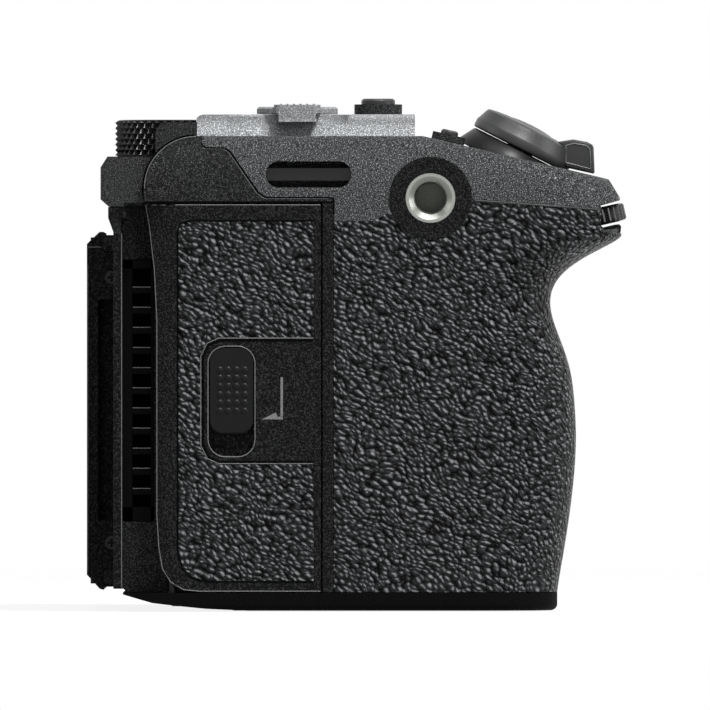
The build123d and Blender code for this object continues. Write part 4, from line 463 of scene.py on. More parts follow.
class Piece:
    """Collects the points and faces of one piece, in millimetres."""

    def __init__(self):
        self.points = []
        self.faces = []

    def add(self, points, faces, axes=Matrix.Identity(4)):
        start = len(self.points)
        self.points += [axes @ Vector(p) for p in points]
        self.faces += [tuple(start + k for k in face) for face in faces]

    def lathe(self, profile, axes, steps, shape=None):
        """Turns a profile of (radius, height) round the axes' Z. A shape may vary the radius."""
        rows = len(profile)
        points = []
        for k in range(steps):
            angle = 2 * pi * k / steps
            for row, (radius, height) in enumerate(profile):
                reach = radius if shape is None else shape(k, row, radius)
                points.append((reach * cos(angle), reach * sin(angle), height))
        faces = []
        for k in range(steps):
            here, there = k * rows, (k + 1) % steps * rows
            for row in range(rows - 1):
                a, b, c, d = here + row, there + row, there + row + 1, here + row + 1
                reach = [hypot(points[p][0], points[p][1]) for p in (a, b, c, d)]
                if shape is None:
                    faces.append((a, b, c, d))
                elif reach[0] + reach[2] <= reach[1] + reach[3]:
                    faces += [(a, b, c), (a, c, d)]
                else:
                    faces += [(a, b, d), (b, c, d)]
        if profile[0][0] > 0:
            faces.append(tuple(k * rows for k in reversed(range(steps))))
        if profile[-1][0] > 0:
            faces.append(tuple(k * rows + rows - 1 for k in range(steps)))
        self.add(points, faces, axes)

    def ring(self, profile, axes, steps, span=2 * pi, climb=0.0):
        """Sweeps a closed profile of (radius, height) round the axes' Z, climbing if asked."""
        rows = len(profile)
        closed = climb == 0.0 and span == 2 * pi
        count = steps if closed else steps + 1
        points = []
        for k in range(count):
            angle = span * k / steps
            lift = climb * angle / (2 * pi)
            for radius, height in profile:
                points.append((radius * cos(angle), radius * sin(angle), height + lift))
        faces = []
        for k in range(steps):
            here, there = k * rows, (k + 1) % count * rows
            for row in range(rows):
                after = (row + 1) % rows
                faces.append((here + row, there + row, there + after, here + after))
        if not closed:
            faces.append(tuple(reversed(range(rows))))
            faces.append(tuple((count - 1) * rows + row for row in range(rows)))
        self.add(points, faces, axes)

    def slab(self, outline, low, high, axes, edge=0.0):
        """A plate with the given outline, its upper edge drawn in a little if asked."""
        count = len(outline)
        middle_x = sum(p[0] for p in outline) / count
        middle_y = sum(p[1] for p in outline) / count
        points = [(x, y, low) for x, y in outline]
        points += [(x, y, high - edge) for x, y in outline]
        levels = 2
        if edge > 0:
            for x, y in outline:
                across, along = x - middle_x, y - middle_y
                shrink = 1 - edge / (hypot(across, along) or 1.0)
                points.append((middle_x + across * shrink, middle_y + along * shrink, high))
            levels = 3
        faces = [tuple(reversed(range(count)))]
        for level in range(levels - 1):
            for k in range(count):
                after = (k + 1) % count
                low_row, high_row = level * count, (level + 1) * count
                faces.append((low_row + k, low_row + after, high_row + after, high_row + k))
        faces.append(tuple((levels - 1) * count + k for k in range(count)))
        self.add(points, faces, axes)

    def rod(self, path, radius, sides=6):
        """A thin rod along a path of points."""
        path = [Vector(p) for p in path]
        points = []
        for k, here in enumerate(path):
            along = (path[min(k + 1, len(path) - 1)] - path[max(k - 1, 0)]).normalized()
            across = along.orthogonal().normalized()
            if k > 0:
                across = (last - along * last.dot(along)).normalized()
            last = across
            up = along.cross(across)
            for side in range(sides):
                angle = 2 * pi * side / sides
                points.append(here + radius * (across * cos(angle) + up * sin(angle)))
        faces = [tuple(reversed(range(sides)))]
        for k in range(len(path) - 1):
            for side in range(sides):
                after = (side + 1) % sides
                low, high = k * sides, (k + 1) * sides
                faces.append((low + side, low + after, high + after, high + side))
        faces.append(tuple((len(path) - 1) * sides + side for side in range(sides)))
        self.add(points, faces)

    def made(self, name, finish, body, slot, smooth=True):
        """Turns the points into an object in metres that rides on a body."""
        mesh = bpy.data.meshes.new(name)
        mesh.from_pydata([p * MM for p in self.points], [], self.faces)
        mesh.validate()
        mesh.materials.append(finish)
        piece = bpy.data.objects.new(name, mesh)
        bpy.context.scene.collection.objects.link(piece)
        if smooth:
            mesh.polygons.foreach_set("use_smooth", [True] * len(mesh.polygons))
            mesh.set_sharp_from_angle(angle=radians(32))
        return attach(piece, body)


def circle(radius, count):
    return [
        (radius * cos(2 * pi * k / count), radius * sin(2 * pi * k / count)) for k in range(count)
    ]


def oblong(low, high):
    """The outline of a plain plate between two opposite corners."""
    return [low, (high[0], low[1]), high, (low[0], high[1])]


def rounded(width, height, radius, steps=5):
    """The outline of a plate with round corners."""
    outline = []
    corners = ((1, 1, 0), (-1, 1, 90), (-1, -1, 180), (1, -1, 270))
    for side, level, start in corners:
        for k in range(steps + 1):
            angle = radians(start + 90 * k / steps)
            outline.append(
                (
                    side * (width / 2 - radius) + radius * cos(angle),
                    level * (height / 2 - radius) + radius * sin(angle),
                )
            )
    return outline


# The faces that the grip side's small pieces lie on
grip_corner_y, grip_corner_radius = -32.4, 13.0
shell_round_z, shell_round_radius = 72.2, 2.0
door_curve_y, door_curve_radius = 23.9, 6.0


def grip_side_x(y, z):
    """X of the grip's outer face above the waist, where its front corner is round."""
    if y > grip_corner_y:
        return grip_face_x
    reach = max(0.0, grip_corner_radius**2 - (y - grip_corner_y) ** 2)
    return grip_face_x + grip_corner_radius - sqrt(reach)


def shell_side_x(y, z):
    """X of the grip casing's side, which rounds over at the top."""
    over = max(0.0, z - shell_round_z)
    return grip_face_x + shell_round_radius - sqrt(max(0.0, shell_round_radius**2 - over * over))


def door_side_x(y, z):
    """X of the card door's face, which curves in at the rear."""
    over = max(0.0, y - door_curve_y)
    return grip_face_x + door_curve_radius - sqrt(door_curve_radius**2 - over * over)


def laid(path, face_x, lift):
    """A path in Y and Z, laid in a face: its X is a number, or found from Y and Z."""
    return [((face_x(y, z) if callable(face_x) else face_x) + lift, y, z) for y, z in path]


# Rear dial with a diamond knurl
dial_x, dial_y = -60.0, 25.2
dial_low, dial_high = 70.9, 76.8
dial_radius = 8.5
knurl_columns, knurl_rows = 38, 3
knurl_depth = 0.7


def knurl(column, row, radius):
    """Peaks and hollows in a diamond pattern on the knurled rows, plain above and below."""
    first, last = 2, 2 + 2 * knurl_rows
    if row < first or row > last:
        return radius
    return radius if (column + row) % 2 else radius - knurl_depth


dial_profile = [(dial_radius - 0.5, dial_low), (dial_radius - 0.3, dial_low + 0.3)]
knurl_low, knurl_high = dial_low + 0.35, dial_high - 0.45
for k in range(2 * knurl_rows + 1):
    level = knurl_low + (knurl_high - knurl_low) * k / (2 * knurl_rows)
    dial_profile.append((dial_radius, level))
dial_profile += [
    (dial_radius - 0.45, dial_high - 0.12),
    (dial_radius - 0.7, dial_high),
    (dial_radius - 2.4, dial_high),
    (dial_radius - 2.6, dial_high - 0.25),
]
dial = Piece()
dial.lathe(dial_profile, Matrix.Translation((dial_x, dial_y, 0)), 2 * knurl_columns, knurl)
knurled_dial = dial.made("knurled_dial", black_metal, "rear_dial", "black_metal", smooth=False)
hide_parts("rear_dial")

# Threads in the six screw sockets, 20 turns to the inch, and the sockets' floors
thread_pitch = 1.27
thread_radius = 2.62
thread_height = 0.3
thread_depth, thread_turns = 5.2, 3.2
side_socket_y, side_socket_z = -15.7, 64.5
socket_axes = [
    stand((-76.05, side_socket_y, side_socket_z), (-1, 0, 0)),
    stand((53.7, 20.0, 64.0), (1, 0, 0)),
    stand((0, 0, 0), (0, 0, -1), (0, 1, 0)),
    stand((-34.0, 3.0, 77.7), (0, 0, 1), (0, 1, 0)),
    stand((34.0, -7.0, 77.7), (0, 0, 1), (0, 1, 0)),
    stand((34.0, 13.0, 77.7), (0, 0, 1), (0, 1, 0)),
]
thread_profile = [
    (thread_radius, -0.55 - thread_depth),
    (thread_radius - thread_height, -0.08 - thread_depth),
    (thread_radius - thread_height, 0.08 - thread_depth),
    (thread_radius, 0.55 - thread_depth),
]
threads = Piece()
socket_floors = Piece()
for axes in socket_axes:
    threads.ring(thread_profile, axes, 96, 2 * pi * thread_turns, thread_pitch)
    socket_floors.lathe([(2.5, -5.15), (2.5, -5.0), (0.0, -5.0)], axes, 32)
threads.made("socket_threads", silver, "body", "steel")
socket_floors.made("socket_floors", insert_shade, "body", "steel")

# Slider of the card door, with raised dots, four across and six up
lock_y, lock_low_z, lock_high_z = 15.4, 27.65, 41.25
first_dot, dot_pitch = (17.25, 37.6), (1.29, 1.285)
slider = Piece()
slider_axes = stand((grip_face_x, lock_y, (lock_low_z + lock_high_z) / 2), (-1, 0, 0))
slider.slab(rounded(7.0, lock_high_z - lock_low_z, 2.1, 8), -1.25, -0.05, slider_axes, 0.22)
slider.slab(rounded(2.0, 2.0, 0.1), -2.3, -1.2, slider_axes)
dot_profile = [(0.53, -0.25), (0.52, -0.02), (0.46, 0.05), (0.34, 0.1), (0.16, 0.13), (0.0, 0.14)]
for column in range(4):
    for row in range(6):
        dot_y, dot_z = first_dot[0] - dot_pitch[0] * column, first_dot[1] - dot_pitch[1] * row
        slider.lathe(dot_profile, stand((grip_face_x, dot_y, dot_z), (-1, 0, 0)), 16)
slider_piece = slider.made("lock_slider", slider_plastic, "media_lock", "control_plastic")
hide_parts("door_lock")

# Printed arrow beside the slider: a long bar with a hooked head, drawn in -Y and Z
print_height = 0.03
arrow_bar = oblong((-7.75, 30.3), (-7.35, 36.5))
arrow_head = [(-10.7, 29.9), (-7.35, 29.9), (-7.35, 30.35), (-8.2, 30.35), (-8.45, 31.0)]
arrow = Piece()
for outline in (arrow_bar, arrow_head):
    arrow.slab(outline, 0.0, print_height, stand((grip_face_x, 0, 0), (-1, 0, 0)))
arrow.made("door_arrow", print_grey, "media_door", "control_plastic", smooth=False)

# Pale bead along the upper edge of the grip's leather
bead_rear_y, bead_front_y, bead_rear_z, bead_drop = -22.6, -42.2, 64.12, 1.4
bead_steps = 24
bead_path = []
for k in range(bead_steps + 1):
    y = bead_rear_y + (bead_front_y - bead_rear_y) * k / bead_steps
    bead_path.append((y, bead_rear_z - bead_drop * k / bead_steps))
bead = Piece()
bead.rod(laid(bead_path, grip_side_x, 0.02), 0.16, 8)
bead.made("leather_bead", control_plastic, "body", "control_plastic")

# Zoom lever: a stepped ring with a tab, and the low dome of the shutter button inside it
lever_tilt = radians(27)
lever_axes = stand((-59.5, -29.8, 72.2), (0, -sin(lever_tilt), cos(lever_tilt)), (0, 1, 0))
lever_profile = [
    (4.2, 1.2), (7.9, 0.0), (8.15, 0.12), (8.2, 0.4), (8.2, 1.35), (8.05, 1.6), (7.6, 2.75),
    (7.35, 3.3), (7.0, 3.5), (5.8, 3.7), (4.45, 3.86), (4.25, 3.78), (4.2, 3.6),
]
tab_outline = [
    (-34.8, 71.2), (-34.8, 73.0), (-35.8, 73.4), (-38.1, 73.75), (-40.3, 73.35), (-41.1, 72.9),
    (-41.3, 72.5), (-41.45, 68.6), (-41.3, 68.4), (-37.0, 69.35), (-36.2, 70.0),
]
tab_middle_x, tab_half = -59.5, 3.6
lever = Piece()
lever.ring(lever_profile, lever_axes, 96)
lever.lathe([(2.2, -3.8), (2.2, 0.0), (7.9, 0.0), (7.9, 1.1)], lever_axes, 48)
for side in (-1, 1):
    tab_axes = Matrix(((0, 0, side, tab_middle_x), (1, 0, 0, 0), (0, 1, 0, 0), (0, 0, 0, 1)))
    lever.slab(tab_outline, -0.1, tab_half, tab_axes, 0.25)
lever_piece = lever.made("stepped_lever", control_plastic, "zoom_lever", "control_plastic")
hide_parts("zoom_lever")

# Pale rod round the lever tab's rim: a painted highlight
rim_path = [
    (-36.9, 70.1), (-36.9, 72.75), (-38.2, 73.1), (-40.2, 72.75),
    (-40.7, 72.2), (-40.8, 69.1), (-36.9, 70.1),
]
tab_rim_highlight = Piece()
tab_rim_highlight.rod(laid(rim_path, tab_middle_x, -tab_half), 0.14, 8)
tab_rim_highlight.made("tab_rim_highlight", highlight_grey, "zoom_lever", "control_plastic")

dome_profile = [
    (3.95, 2.1), (3.95, 3.66), (3.8, 3.82), (3.2, 3.97), (2.2, 4.1), (1.1, 4.17), (0.0, 4.2),
]
dome = Piece()
dome.lathe(dome_profile, lever_axes, 64)
dome_piece = dome.made("shutter_dome", control_plastic, "shutter_button", "control_plastic")
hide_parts("shutter_button")

skirt_profile = [(9.47, -3.2), (9.3, -2.6), (8.0, -0.35), (7.7, -0.17), (2.6, -0.17)]
skirt = Piece()
skirt.lathe(skirt_profile, lever_axes, 96)
skirt.made("lever_skirt", slider_plastic, "body", "control_plastic")

# Filling between the thumb rest and the round shoulder, and a dark band round the shoulder: painted
# shade in the gap behind its edge
shoulder_y, shoulder_z, shoulder_radius = 20.9, 66.0, 8.2
thumb_left_x, thumb_right_x = -73.0, -30.0


def shoulder_arc(radius, start, end, steps):
    """Points in Y and Z on an arc round the shoulder's middle, between two angles in degrees."""
    angles = [radians(start + (end - start) * k / steps) for k in range(steps + 1)]
    return [(shoulder_y + radius * cos(a), shoulder_z + radius * sin(a)) for a in angles]


def shoulder_band(start, end):
    """A narrow band just outside the shoulder, between two angles in degrees."""
    inner = shoulder_arc(shoulder_radius + 0.02, start, end, 16)
    return inner + shoulder_arc(shoulder_radius + 0.3, end, start, 16)


fill_outline = shoulder_arc(shoulder_radius + 0.08, -1, 36.8, 12)
fill_outline += [(29.25, 70.98), (29.25, 65.8)]
fill = Piece()
fill.slab(fill_outline, thumb_left_x + 0.02, thumb_right_x, side_axes)
fill.made("thumb_fill", rear_paint, "body", "casing_paint", smooth=False)

shoulder_shading = Piece()
shoulder_shading.slab(shoulder_band(-12, 36), -73.06, -72.98, side_axes)
shoulder_shading.slab(shoulder_band(36, 88), -72.46, -72.3, side_axes)
shoulder_shading.made("shoulder_shade_band", joint_and_shade_black, "body", "casing_paint", smooth=False)

# Widened joints between the casings, and pale rods beside them and inside the shoulder's edge:
# painted highlights where the edges catch the light
shell_joint = [
    (20.05, 74.15), (20.05, 72.9), (19.45, 72.35), (16.5, 72.3), (15.6, 71.75), (11.2, 65.35),
    (10.0, 64.55), (0.0, 64.55), (-0.6, 64.5), (-0.6, 62.0),
]
door_joint = [(-0.5, 63.86), (5.0, 63.86), (15.0, 63.86), (29.0, 63.86)]
seams = Piece()
seams.rod(laid(shell_joint, shell_side_x, 0.02), 0.13)
seams.rod(laid(door_joint, grip_face_x, 0.04), 0.16)
casing_highlights = Piece()
casing_highlights.rod([(x, y + 0.22, z - 0.14) for x, y, z in laid(shell_joint[:8], shell_side_x, 0.02)], 0.07)
casing_highlights.rod(laid(shoulder_arc(shoulder_radius - 0.1, 0, 90, 24), grip_face_x, 0.02), 0.08)
casing_highlights.made("casing_edge_highlights", highlight_grey, "body", "casing_paint")
seams.made("casing_seams", joint_and_shade_black, "body", "casing_paint")

# Pale rods on the edges of the card door, of its plain island and of the slider's slot: painted
# highlights
door_outline = [
    (1.5, 63.42), (15.0, 63.42), (23.9, 63.42), (26.0, 63.42), (27.5, 63.42), (28.8, 63.42),
    (28.2, 60.0), (27.45, 53.4), (27.05, 45.5), (27.05, 15.0), (26.75, 10.0), (26.2, 6.6),
    (24.9, 4.5), (22.9, 3.3), (20.4, 3.06), (12.0, 3.06), (1.5, 3.06),
]
island = [
    (2.6, 42.6), (17.4, 42.6), (19.2, 41.8), (20.2, 39.8), (20.2, 25.8), (19.2, 23.8),
    (17.4, 23.0), (2.6, 23.0),
]
slot_y, slot_z = 15.4, 32.7
slot = [(slot_y + y, slot_z + z) for y, z in rounded(7.35, 17.3, 2.7, 6)]
door_edge_highlights = Piece()
door_edge_highlights.rod(laid(door_outline, door_side_x, 0.03), 0.09)
door_edge_highlights.rod(laid(island, grip_face_x, 0.02), 0.09)
door_edge_highlights.rod(laid(slot + slot[:1], grip_face_x, 0.02), 0.09)
door_edge_highlights.made("door_edge_highlights", highlight_grey, "media_door", "casing_paint")

# Dark grooves round the island and round the door's leather
inner_island = [
    (2.6, 42.3), (17.3, 42.3), (18.95, 41.55), (19.8, 39.7), (19.8, 25.9), (18.95, 24.1),
    (17.3, 23.3), (2.6, 23.3),
]
patch = [
    (2.6, 60.95), (22.2, 60.95), (23.3, 60.5), (23.8, 59.4), (23.8, 9.2), (23.1, 6.7),
    (21.5, 5.1), (19.2, 4.55), (2.6, 4.55),
]
door_grooves = Piece()
door_grooves.rod(laid(inner_island, grip_face_x, 0.04), 0.18)
door_grooves.rod(laid(patch, door_side_x, 0.04), 0.15)
door_grooves.made("door_grooves", joint_and_shade_black, "media_door", "casing_paint")

# Corners that narrow the slider's slot to its rounder outline
slot_half_width, slot_half_height = 3.6, 8.6
round_y, round_z, round_radius, round_steps = 0.9, 5.9, 2.7, 6
slot_corners = Piece()
for side in (-1, 1):
    for level in (-1, 1):
        corner = [(side * slot_half_width, level * slot_half_height)]
        for k in range(round_steps + 1):
            angle = radians(90 * k / round_steps)
            across, along = round_radius * cos(angle), round_radius * sin(angle)
            corner.append((side * (round_y + across), level * (round_z + along)))
        if side * level < 0:
            corner.reverse()
        corner_axes = stand((grip_face_x, slot_y, slot_z), (-1, 0, 0))
        slot_corners.slab(corner, -1.3, -0.02, corner_axes)
slot_corners.made("slot_corners", door_paint, "media_door", "casing_paint", smooth=False)

# Plain strip between the card door and the grip, and a darker sheet on the ridge beside the vent:
# painted shade on the recessed ridge
ridge_low, ridge_high = (32.6, 3.6), (33.85, 59.0)
shade_and_strip = Piece()
door_strip = oblong((-0.42, 3.2), (1.1, 63.4))
shade_and_strip.slab(door_strip, grip_face_x - 0.03, grip_face_x + 0.2, side_axes)
shade_and_strip.slab(oblong(ridge_low, ridge_high), -71.84, -71.7, side_axes)
shade_and_strip.made("side_strip_and_ridge_shade", door_paint, "body", "casing_paint", smooth=False)
# Pale rod on the ridge's edge: a painted highlight
ridge_highlight = Piece()
ridge_highlight.rod([(-71.8, ridge_low[0], ridge_low[1]), (-71.8, ridge_low[0], ridge_high[1])], 0.09)
ridge_highlight.made("ridge_edge_highlight", highlight_grey, "body", "casing_paint")

# Pale rods on the edges of the monitor's side: painted highlights
monitor_side_x = -26.5
monitor_edge_highlights = Piece()
monitor_edge_highlights.rod([(monitor_side_x, 38.25, 6.0), (monitor_side_x, 38.25, 54.0)], 0.09)
monitor_edge_highlights.rod([(monitor_side_x, 38.2, 57.0), (monitor_side_x, 36.2, 57.0)], 0.08)
monitor_edge_highlights.made("monitor_edge_highlights", highlight_grey, "monitor", "control_plastic")

# Cooling vent: frame, flat slats, a black sheet behind them as painted shade, and pale rods on
# their upper edges as painted highlights
vent_x = -70.6
vent_low, vent_high = (27.5, 14.0), (32.6, 54.8)
window_low, window_high = (28.0, 16.2), (30.9, 53.5)
slat_count, slat_pitch, slat_top_z, slat_height = 11, 3.15, 50.6, 1.0
vent = Piece()
for low, high in (
    (vent_low, (window_low[0], vent_high[1])),
    ((window_high[0], vent_low[1]), vent_high),
    (vent_low, (vent_high[0], window_low[1])),
    ((vent_low[0], window_high[1]), vent_high),
):
    vent.slab(oblong(low, high), vent_x, vent_x + 1.3, side_axes)
slat_highlights = Piece()
for k in range(slat_count):
    slat_z = slat_top_z - slat_pitch * k
    outline = oblong((window_low[0], slat_z - slat_height), (window_high[0], slat_z))
    vent.slab(outline, vent_x + 0.15, vent_x + 2.5, side_axes)
    slat_edge = [(window_low[0] + 0.05, slat_z), (window_high[0] - 0.05, slat_z)]
    slat_highlights.rod(laid(slat_edge, vent_x, 0.15), 0.08)
vent_piece = vent.made("vent_slats", vent_plastic, "body", "control_plastic", smooth=False)
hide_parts("vent_grille")
slat_highlights.made("slat_edge_highlights", highlight_grey, "body", "control_plastic")
# Black sheet behind the slats: painted shade
vent_shade_sheet = Piece()
vent_shade_sheet.slab(oblong((27.7, 16.0), (31.2, 53.7)), vent_x + 2.5, vent_x + 2.6, side_axes)
vent_shade_sheet.made("vent_shade_sheet", vent_shade_black, "body", "control_plastic", smooth=False)

# Pegs in the two inner corners of the monitor's side
peg_profile = [(1.0, 0.0), (1.15, 0.15), (1.15, 2.2), (0.9, 2.5), (0.0, 2.5)]
pegs = Piece()
for z in (57.45, 4.95):
    pegs.lathe(peg_profile, stand((-26.35, 33.25, z), (0, 1, 0)), 24)
pegs.made("monitor_pegs", rear_paint, "monitor", "control_plastic")

# Front dial with broad round ribs, and the dark lip of the slot that it turns in
front_tilt = radians(13)
front_axes = stand((-59.5, -39.4, 61.0), (0, sin(front_tilt), cos(front_tilt)), (0, 1, 0))
rib_count, rib_steps, rib_depth = 36, 8, 0.6
wheel_radius, wheel_half = 7.0, 1.4
wheel_profile = [
    (1.5, -wheel_half - 1.2), (1.5, -wheel_half), (5.9, -wheel_half), (6.8, -wheel_half + 0.12),
    (wheel_radius, -wheel_half + 0.4), (wheel_radius, wheel_half - 0.4),
    (6.8, wheel_half - 0.12), (5.9, wheel_half), (1.5, wheel_half), (1.5, wheel_half + 2.0),
]


def ribs(step, row, radius):
    """Round ribs on the dial's rim, plain on its faces."""
    if radius < wheel_radius - 0.4:
        return radius
    return radius - rib_depth * (0.5 - 0.5 * cos(2 * pi * step / rib_steps)) ** 1.5


front_wheel = Piece()
front_wheel.lathe(wheel_profile, front_axes, rib_steps * rib_count, ribs)
wheel_piece = front_wheel.made("ribbed_dial", dial_gloss, "front_dial", "black_metal")
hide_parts("front_dial")
lip_outline = [
    (-41.9, 58.7), (-41.9, 59.75), (-44.6, 60.4), (-45.3, 60.45), (-45.6, 60.1), (-45.5, 59.2),
    (-44.0, 58.9),
]
lip = Piece()
lip.slab(lip_outline, -65.0, -54.0, side_axes)
lip.made("dial_slot_lip", door_paint, "body", "casing_paint", smooth=False)

# Shoulder of the top plate beside the rear dial: a wall drawn from the side, and a plan
wing_low_z, wing_high_z = 74.22, 77.6
wing_wall = [
    (16.0, wing_low_z), (20.95, wing_low_z), (20.95, 76.6), (20.8, 77.1), (20.4, 77.45),
    (19.9, wing_high_z), (16.0, wing_high_z),
]
wing_plan = [
    (-70.0, 10.6), (-69.2, 16.2), (-69.2, 16.6), (-60.5, 16.0), (-59.5, 15.8), (-59.5, 10.2),
    (-66.0, 10.2),
]
wing = Piece()
wing.slab(wing_wall, -70.0, -69.2, side_axes)
wing.slab(wing_plan, wing_low_z, wing_high_z, Matrix.Identity(4), 0.3)
wing.made("plate_wing", top_paint, "body", "top_paint", smooth=False)

# Pale rod round the side socket's black ring: a painted highlight on its edge
edge_circle = [(side_socket_y + y, side_socket_z + z) for y, z in circle(6.32, 48)]
socket_edge_highlight = Piece()
socket_edge_highlight.rod(laid(edge_circle + edge_circle[:1], grip_face_x, -0.02), 0.09)
socket_edge_highlight.made("socket_edge_highlight", highlight_grey, "body", "control_plastic")

# Gold tips of the lens contacts, in an arc at the foot of the throat
axis_z = 37.0
contact_count, contact_radius, contact_y = 10, 21.8, -15.5
contact_start, contact_span = 241, 58
contact_profile = [(0.42, -0.4), (0.42, 0.1), (0.3, 0.26), (0.0, 0.32)]
contacts = Piece()
for k in range(contact_count):
    angle = radians(contact_start + contact_span / (contact_count - 1) * k)
    x, z = contact_radius * cos(angle), axis_z + contact_radius * sin(angle)
    contacts.lathe(contact_profile, stand((x, contact_y, z), (0, -1, 0)), 14)
contacts.made("contact_tips", gold, "body", "steel")

# Index mark of the lens mount
index_angle, index_radius = radians(128), 30.2
x, z = index_radius * cos(index_angle), axis_z + index_radius * sin(index_angle)
index_profile = [(0.9, -1.2), (0.9, 0.25), (0.7, 0.42), (0.0, 0.5)]
index_mark = Piece()
index_mark.lathe(index_profile, stand((x, -15.6, z), (0, -1, 0)), 24)
index_mark.made("mount_index", print_white, "body", "control_plastic")


def cross_screw(piece, axes, radius, height, recess):
    """A low screw head with a cross recess, standing on the axes' Z."""
    arm, half = 0.62 * radius, 0.14 * radius
    cross = [
        (arm, half), (half, half), (half, arm), (-half, arm), (-half, half), (-arm, half),
        (-arm, -half), (-half, -half), (-half, -arm), (half, -arm), (half, -half), (arm, -half),
    ]
    rim_count = 24
    rim = circle(radius, rim_count)
    points = [(x, y, 0) for x, y in rim]
    points += [(x, y, height * 0.75) for x, y in rim]
    points += [(x, y, height) for x, y in circle(radius * 0.92, rim_count)]
    points += [(x, y, height) for x, y in cross]
    points += [(x * 0.85, y * 0.85, height - recess) for x, y in cross]
    faces = []
    for level in range(2):
        for k in range(rim_count):
            after = (k + 1) % rim_count
            a, b = level * rim_count, (level + 1) * rim_count
            faces.append((a + k, a + after, b + after, b + k))
    top, first_cross = 2 * rim_count, 3 * rim_count
    floor = first_cross + len(cross)
    per_point = rim_count // len(cross)
    for k in range(len(cross)):
        after = (k + 1) % len(cross)
        start = k * per_point
        for step in range(per_point):
            here = (start + step) % rim_count
            there = (start + step + 1) % rim_count
            faces.append((top + here, top + there, first_cross + k))
        faces.append((top + (start + per_point) % rim_count, first_cross + after, first_cross + k))
    for k in range(len(cross)):
        after = (k + 1) % len(cross)
        faces.append((first_cross + k, first_cross + after, floor + after, floor + k))
    faces.append(tuple(floor + k for k in range(len(cross))))
    piece.add(points, faces, axes)


# Screws of the lens mount, of the base and of the monitor's side
screw_radius = 1.1
mount_screw_radius, mount_screw_y = 26.9, -17.2
heads = Piece()
for k in range(4):
    angle = radians(45 + 90 * k)
    x, z = mount_screw_radius * cos(angle), axis_z + mount_screw_radius * sin(angle)
    cross_screw(heads, stand((x, mount_screw_y, z), (0, -1, 0)), screw_radius, 0.75, 0.45)
for x, y in ((-30.0, -9.4), (34.0, -9.4), (-18.0, 24.0), (40.0, 24.0)):
    cross_screw(heads, stand((x, y, 0.85), (0, 0, -1), (0, 1, 0)), screw_radius, 0.6, 0.4)
screw_heads = heads.made("screw_heads", dark_steel, "body", "dark_steel")
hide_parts("screws")
monitor_screws = Piece()
for z in (52.2, 10.3):
    axes = stand((monitor_side_x + 0.3, 34.45, z), (-1, 0, 0))
    cross_screw(monitor_screws, axes, screw_radius, 0.42, 0.3)
monitor_screws.made("monitor_screws", black_metal, "monitor", "dark_steel")

# Fine ribs round the wheel of the rear panel
wheel_x, wheel_z, wheel_face_y = -46.5, 27.0, 32.6
wheel_rib_count, wheel_rib_reach = 44, 9.0
wheel_ribs = Piece()
for k in range(wheel_rib_count):
    angle = 2 * pi * k / wheel_rib_count
    x, z = wheel_x + wheel_rib_reach * cos(angle), wheel_z + wheel_rib_reach * sin(angle)
    axes = stand((x, wheel_face_y, z), (0, 1, 0), (cos(angle), 0, sin(angle)))
    wheel_ribs.slab(oblong((-0.2, -0.8), (0.2, 0.8)), -0.2, 0.16, axes, 0.05)
wheel_ribs.made("wheel_ribs", control_plastic, "control_wheel", "control_plastic")

# Pips on the joystick's cap, five rows of them without the corners
stick_x, stick_z, stick_face_y = -47.5, 48.5, 33.4
pip_pitch = 0.82
pip_profile = [(0.26, -0.1), (0.24, 0.05), (0.12, 0.14), (0, 0.16)]
pips = Piece()
for column in range(-2, 3):
    for row in range(-2, 3):
        if column**2 + row**2 < 6:
            place = (stick_x + pip_pitch * column, stick_face_y, stick_z + pip_pitch * row)
            pips.lathe(pip_profile, stand(place, (0, 1, 0)), 10)
pips.made("joystick_pips", rough_plastic, "joystick_cap", "control_plastic")

# Serrations on the tongue of the power switch
tongue_y, tongue_length, serration_count = 5.15, 5.2, 6
serrations = Piece()
for k in range(serration_count):
    y = tongue_y - tongue_length / 2 + tongue_length * k / (serration_count - 1)
    axes = stand((-59.2, y, 79.2), (0, 0, 1), (0, 1, 0))
    serrations.slab(oblong((-1.4, -0.18), (1.4, 0.18)), -0.1, 0.16, axes, 0.05)
serrations.made("switch_serrations", top_paint, "power_switch", "control_plastic")

# Studio: a pale floor and a pale world, with soft lamps above, in front and to the sides
white = (1, 1, 1, 1)


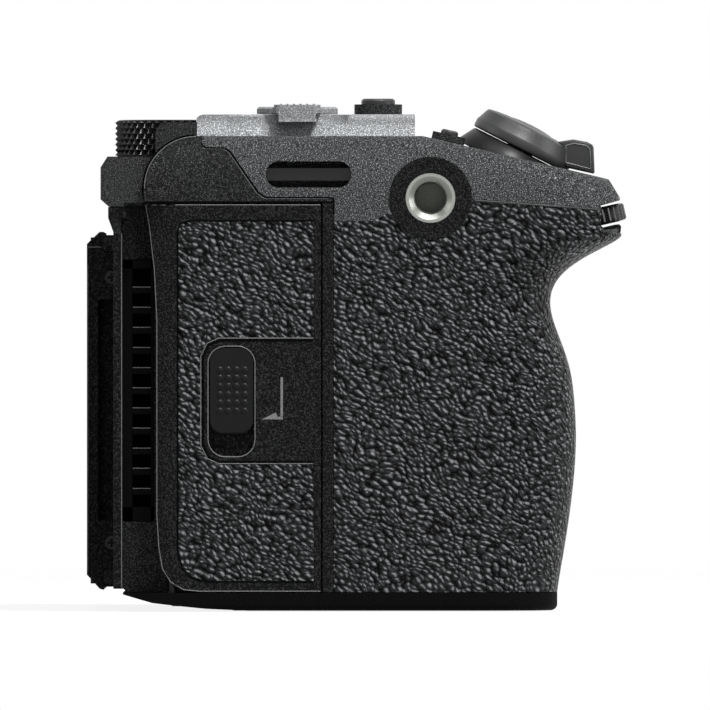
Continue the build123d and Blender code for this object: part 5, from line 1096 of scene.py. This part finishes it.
def pale_surface(name, tone, glow):
    """A pale matt floor that the lens sees almost white near by, and quite white far off."""
    finish = Finish(name)
    speck = finish.noise(finish.place(), 0.02, 2.0)
    away = finish.node(
        "ShaderNodeVectorMath", {"operation": "LENGTH"}, {0: finish.place()}, output="Value"
    )
    glow = glow + (1.0 - glow) * finish.ramp(away, 150.0, 1100.0)
    colour = finish.tint(speck, rgb(tone * 0.98), rgb(tone))
    matt = finish.node("ShaderNodeBsdfDiffuse", None, {"Color": colour})
    bright = finish.node("ShaderNodeEmission", None, {"Color": white, "Strength": 1.0})
    return finish.shown(finish.mixed(finish.seen() * glow, matt, bright))


floor_half = 4.0
floor_corners = [(x, y, 0) for x, y in oblong((-floor_half, -floor_half), (floor_half, floor_half))]
floor_mesh = bpy.data.meshes.new("floor")
floor_mesh.from_pydata(floor_corners, [], [(0, 1, 2, 3)])
floor_mesh.materials.append(pale_surface("pale_floor", 0.85, 0.86))
floor = bpy.data.objects.new("floor", floor_mesh)
floor.location = (0, 0, -0.0002)
bpy.context.scene.collection.objects.link(floor)

world = bpy.data.worlds.new("studio")
bpy.context.scene.world = world
studio = Finish("studio", world)
dim = studio.node("ShaderNodeBackground", None, {"Color": white, "Strength": 0.22})
pale = studio.node("ShaderNodeBackground", None, {"Color": white, "Strength": 1.0})
backdrop = studio.mixed(studio.seen(), dim, pale)
studio.node("ShaderNodeOutputWorld", None, {"Surface": backdrop})

# Lamps: name, place and size in metres, power in watts
lamps = (
    ("key_lamp", (-0.58, -0.42, 1.2), 0.28, 31.0),
    ("top_lamp", (-0.3, 0.1, 1.0), 0.5, 4.0),
    ("front_lamp", (-0.35, -0.95, 0.35), 0.5, 4.0),
    ("rear_lamp", (-0.25, 0.95, 0.55), 0.5, 1.8),
    ("camera_lamp", (-1.4, -0.2, 0.5), 0.9, 1.6),
)
object_middle = Vector((-0.02, -0.004, 0.04))
for lamp_name, place, size, power in lamps:
    lamp_data = bpy.data.lights.new(lamp_name, "AREA")
    lamp_data.size = size
    lamp_data.energy = power
    lamp = bpy.data.objects.new(lamp_name, lamp_data)
    lamp.location = place
    lamp.rotation_euler = (object_middle - Vector(place)).to_track_quat("-Z", "Y").to_euler()
    bpy.context.scene.collection.objects.link(lamp)

bpy.context.scene.view_settings.view_transform = "Standard"
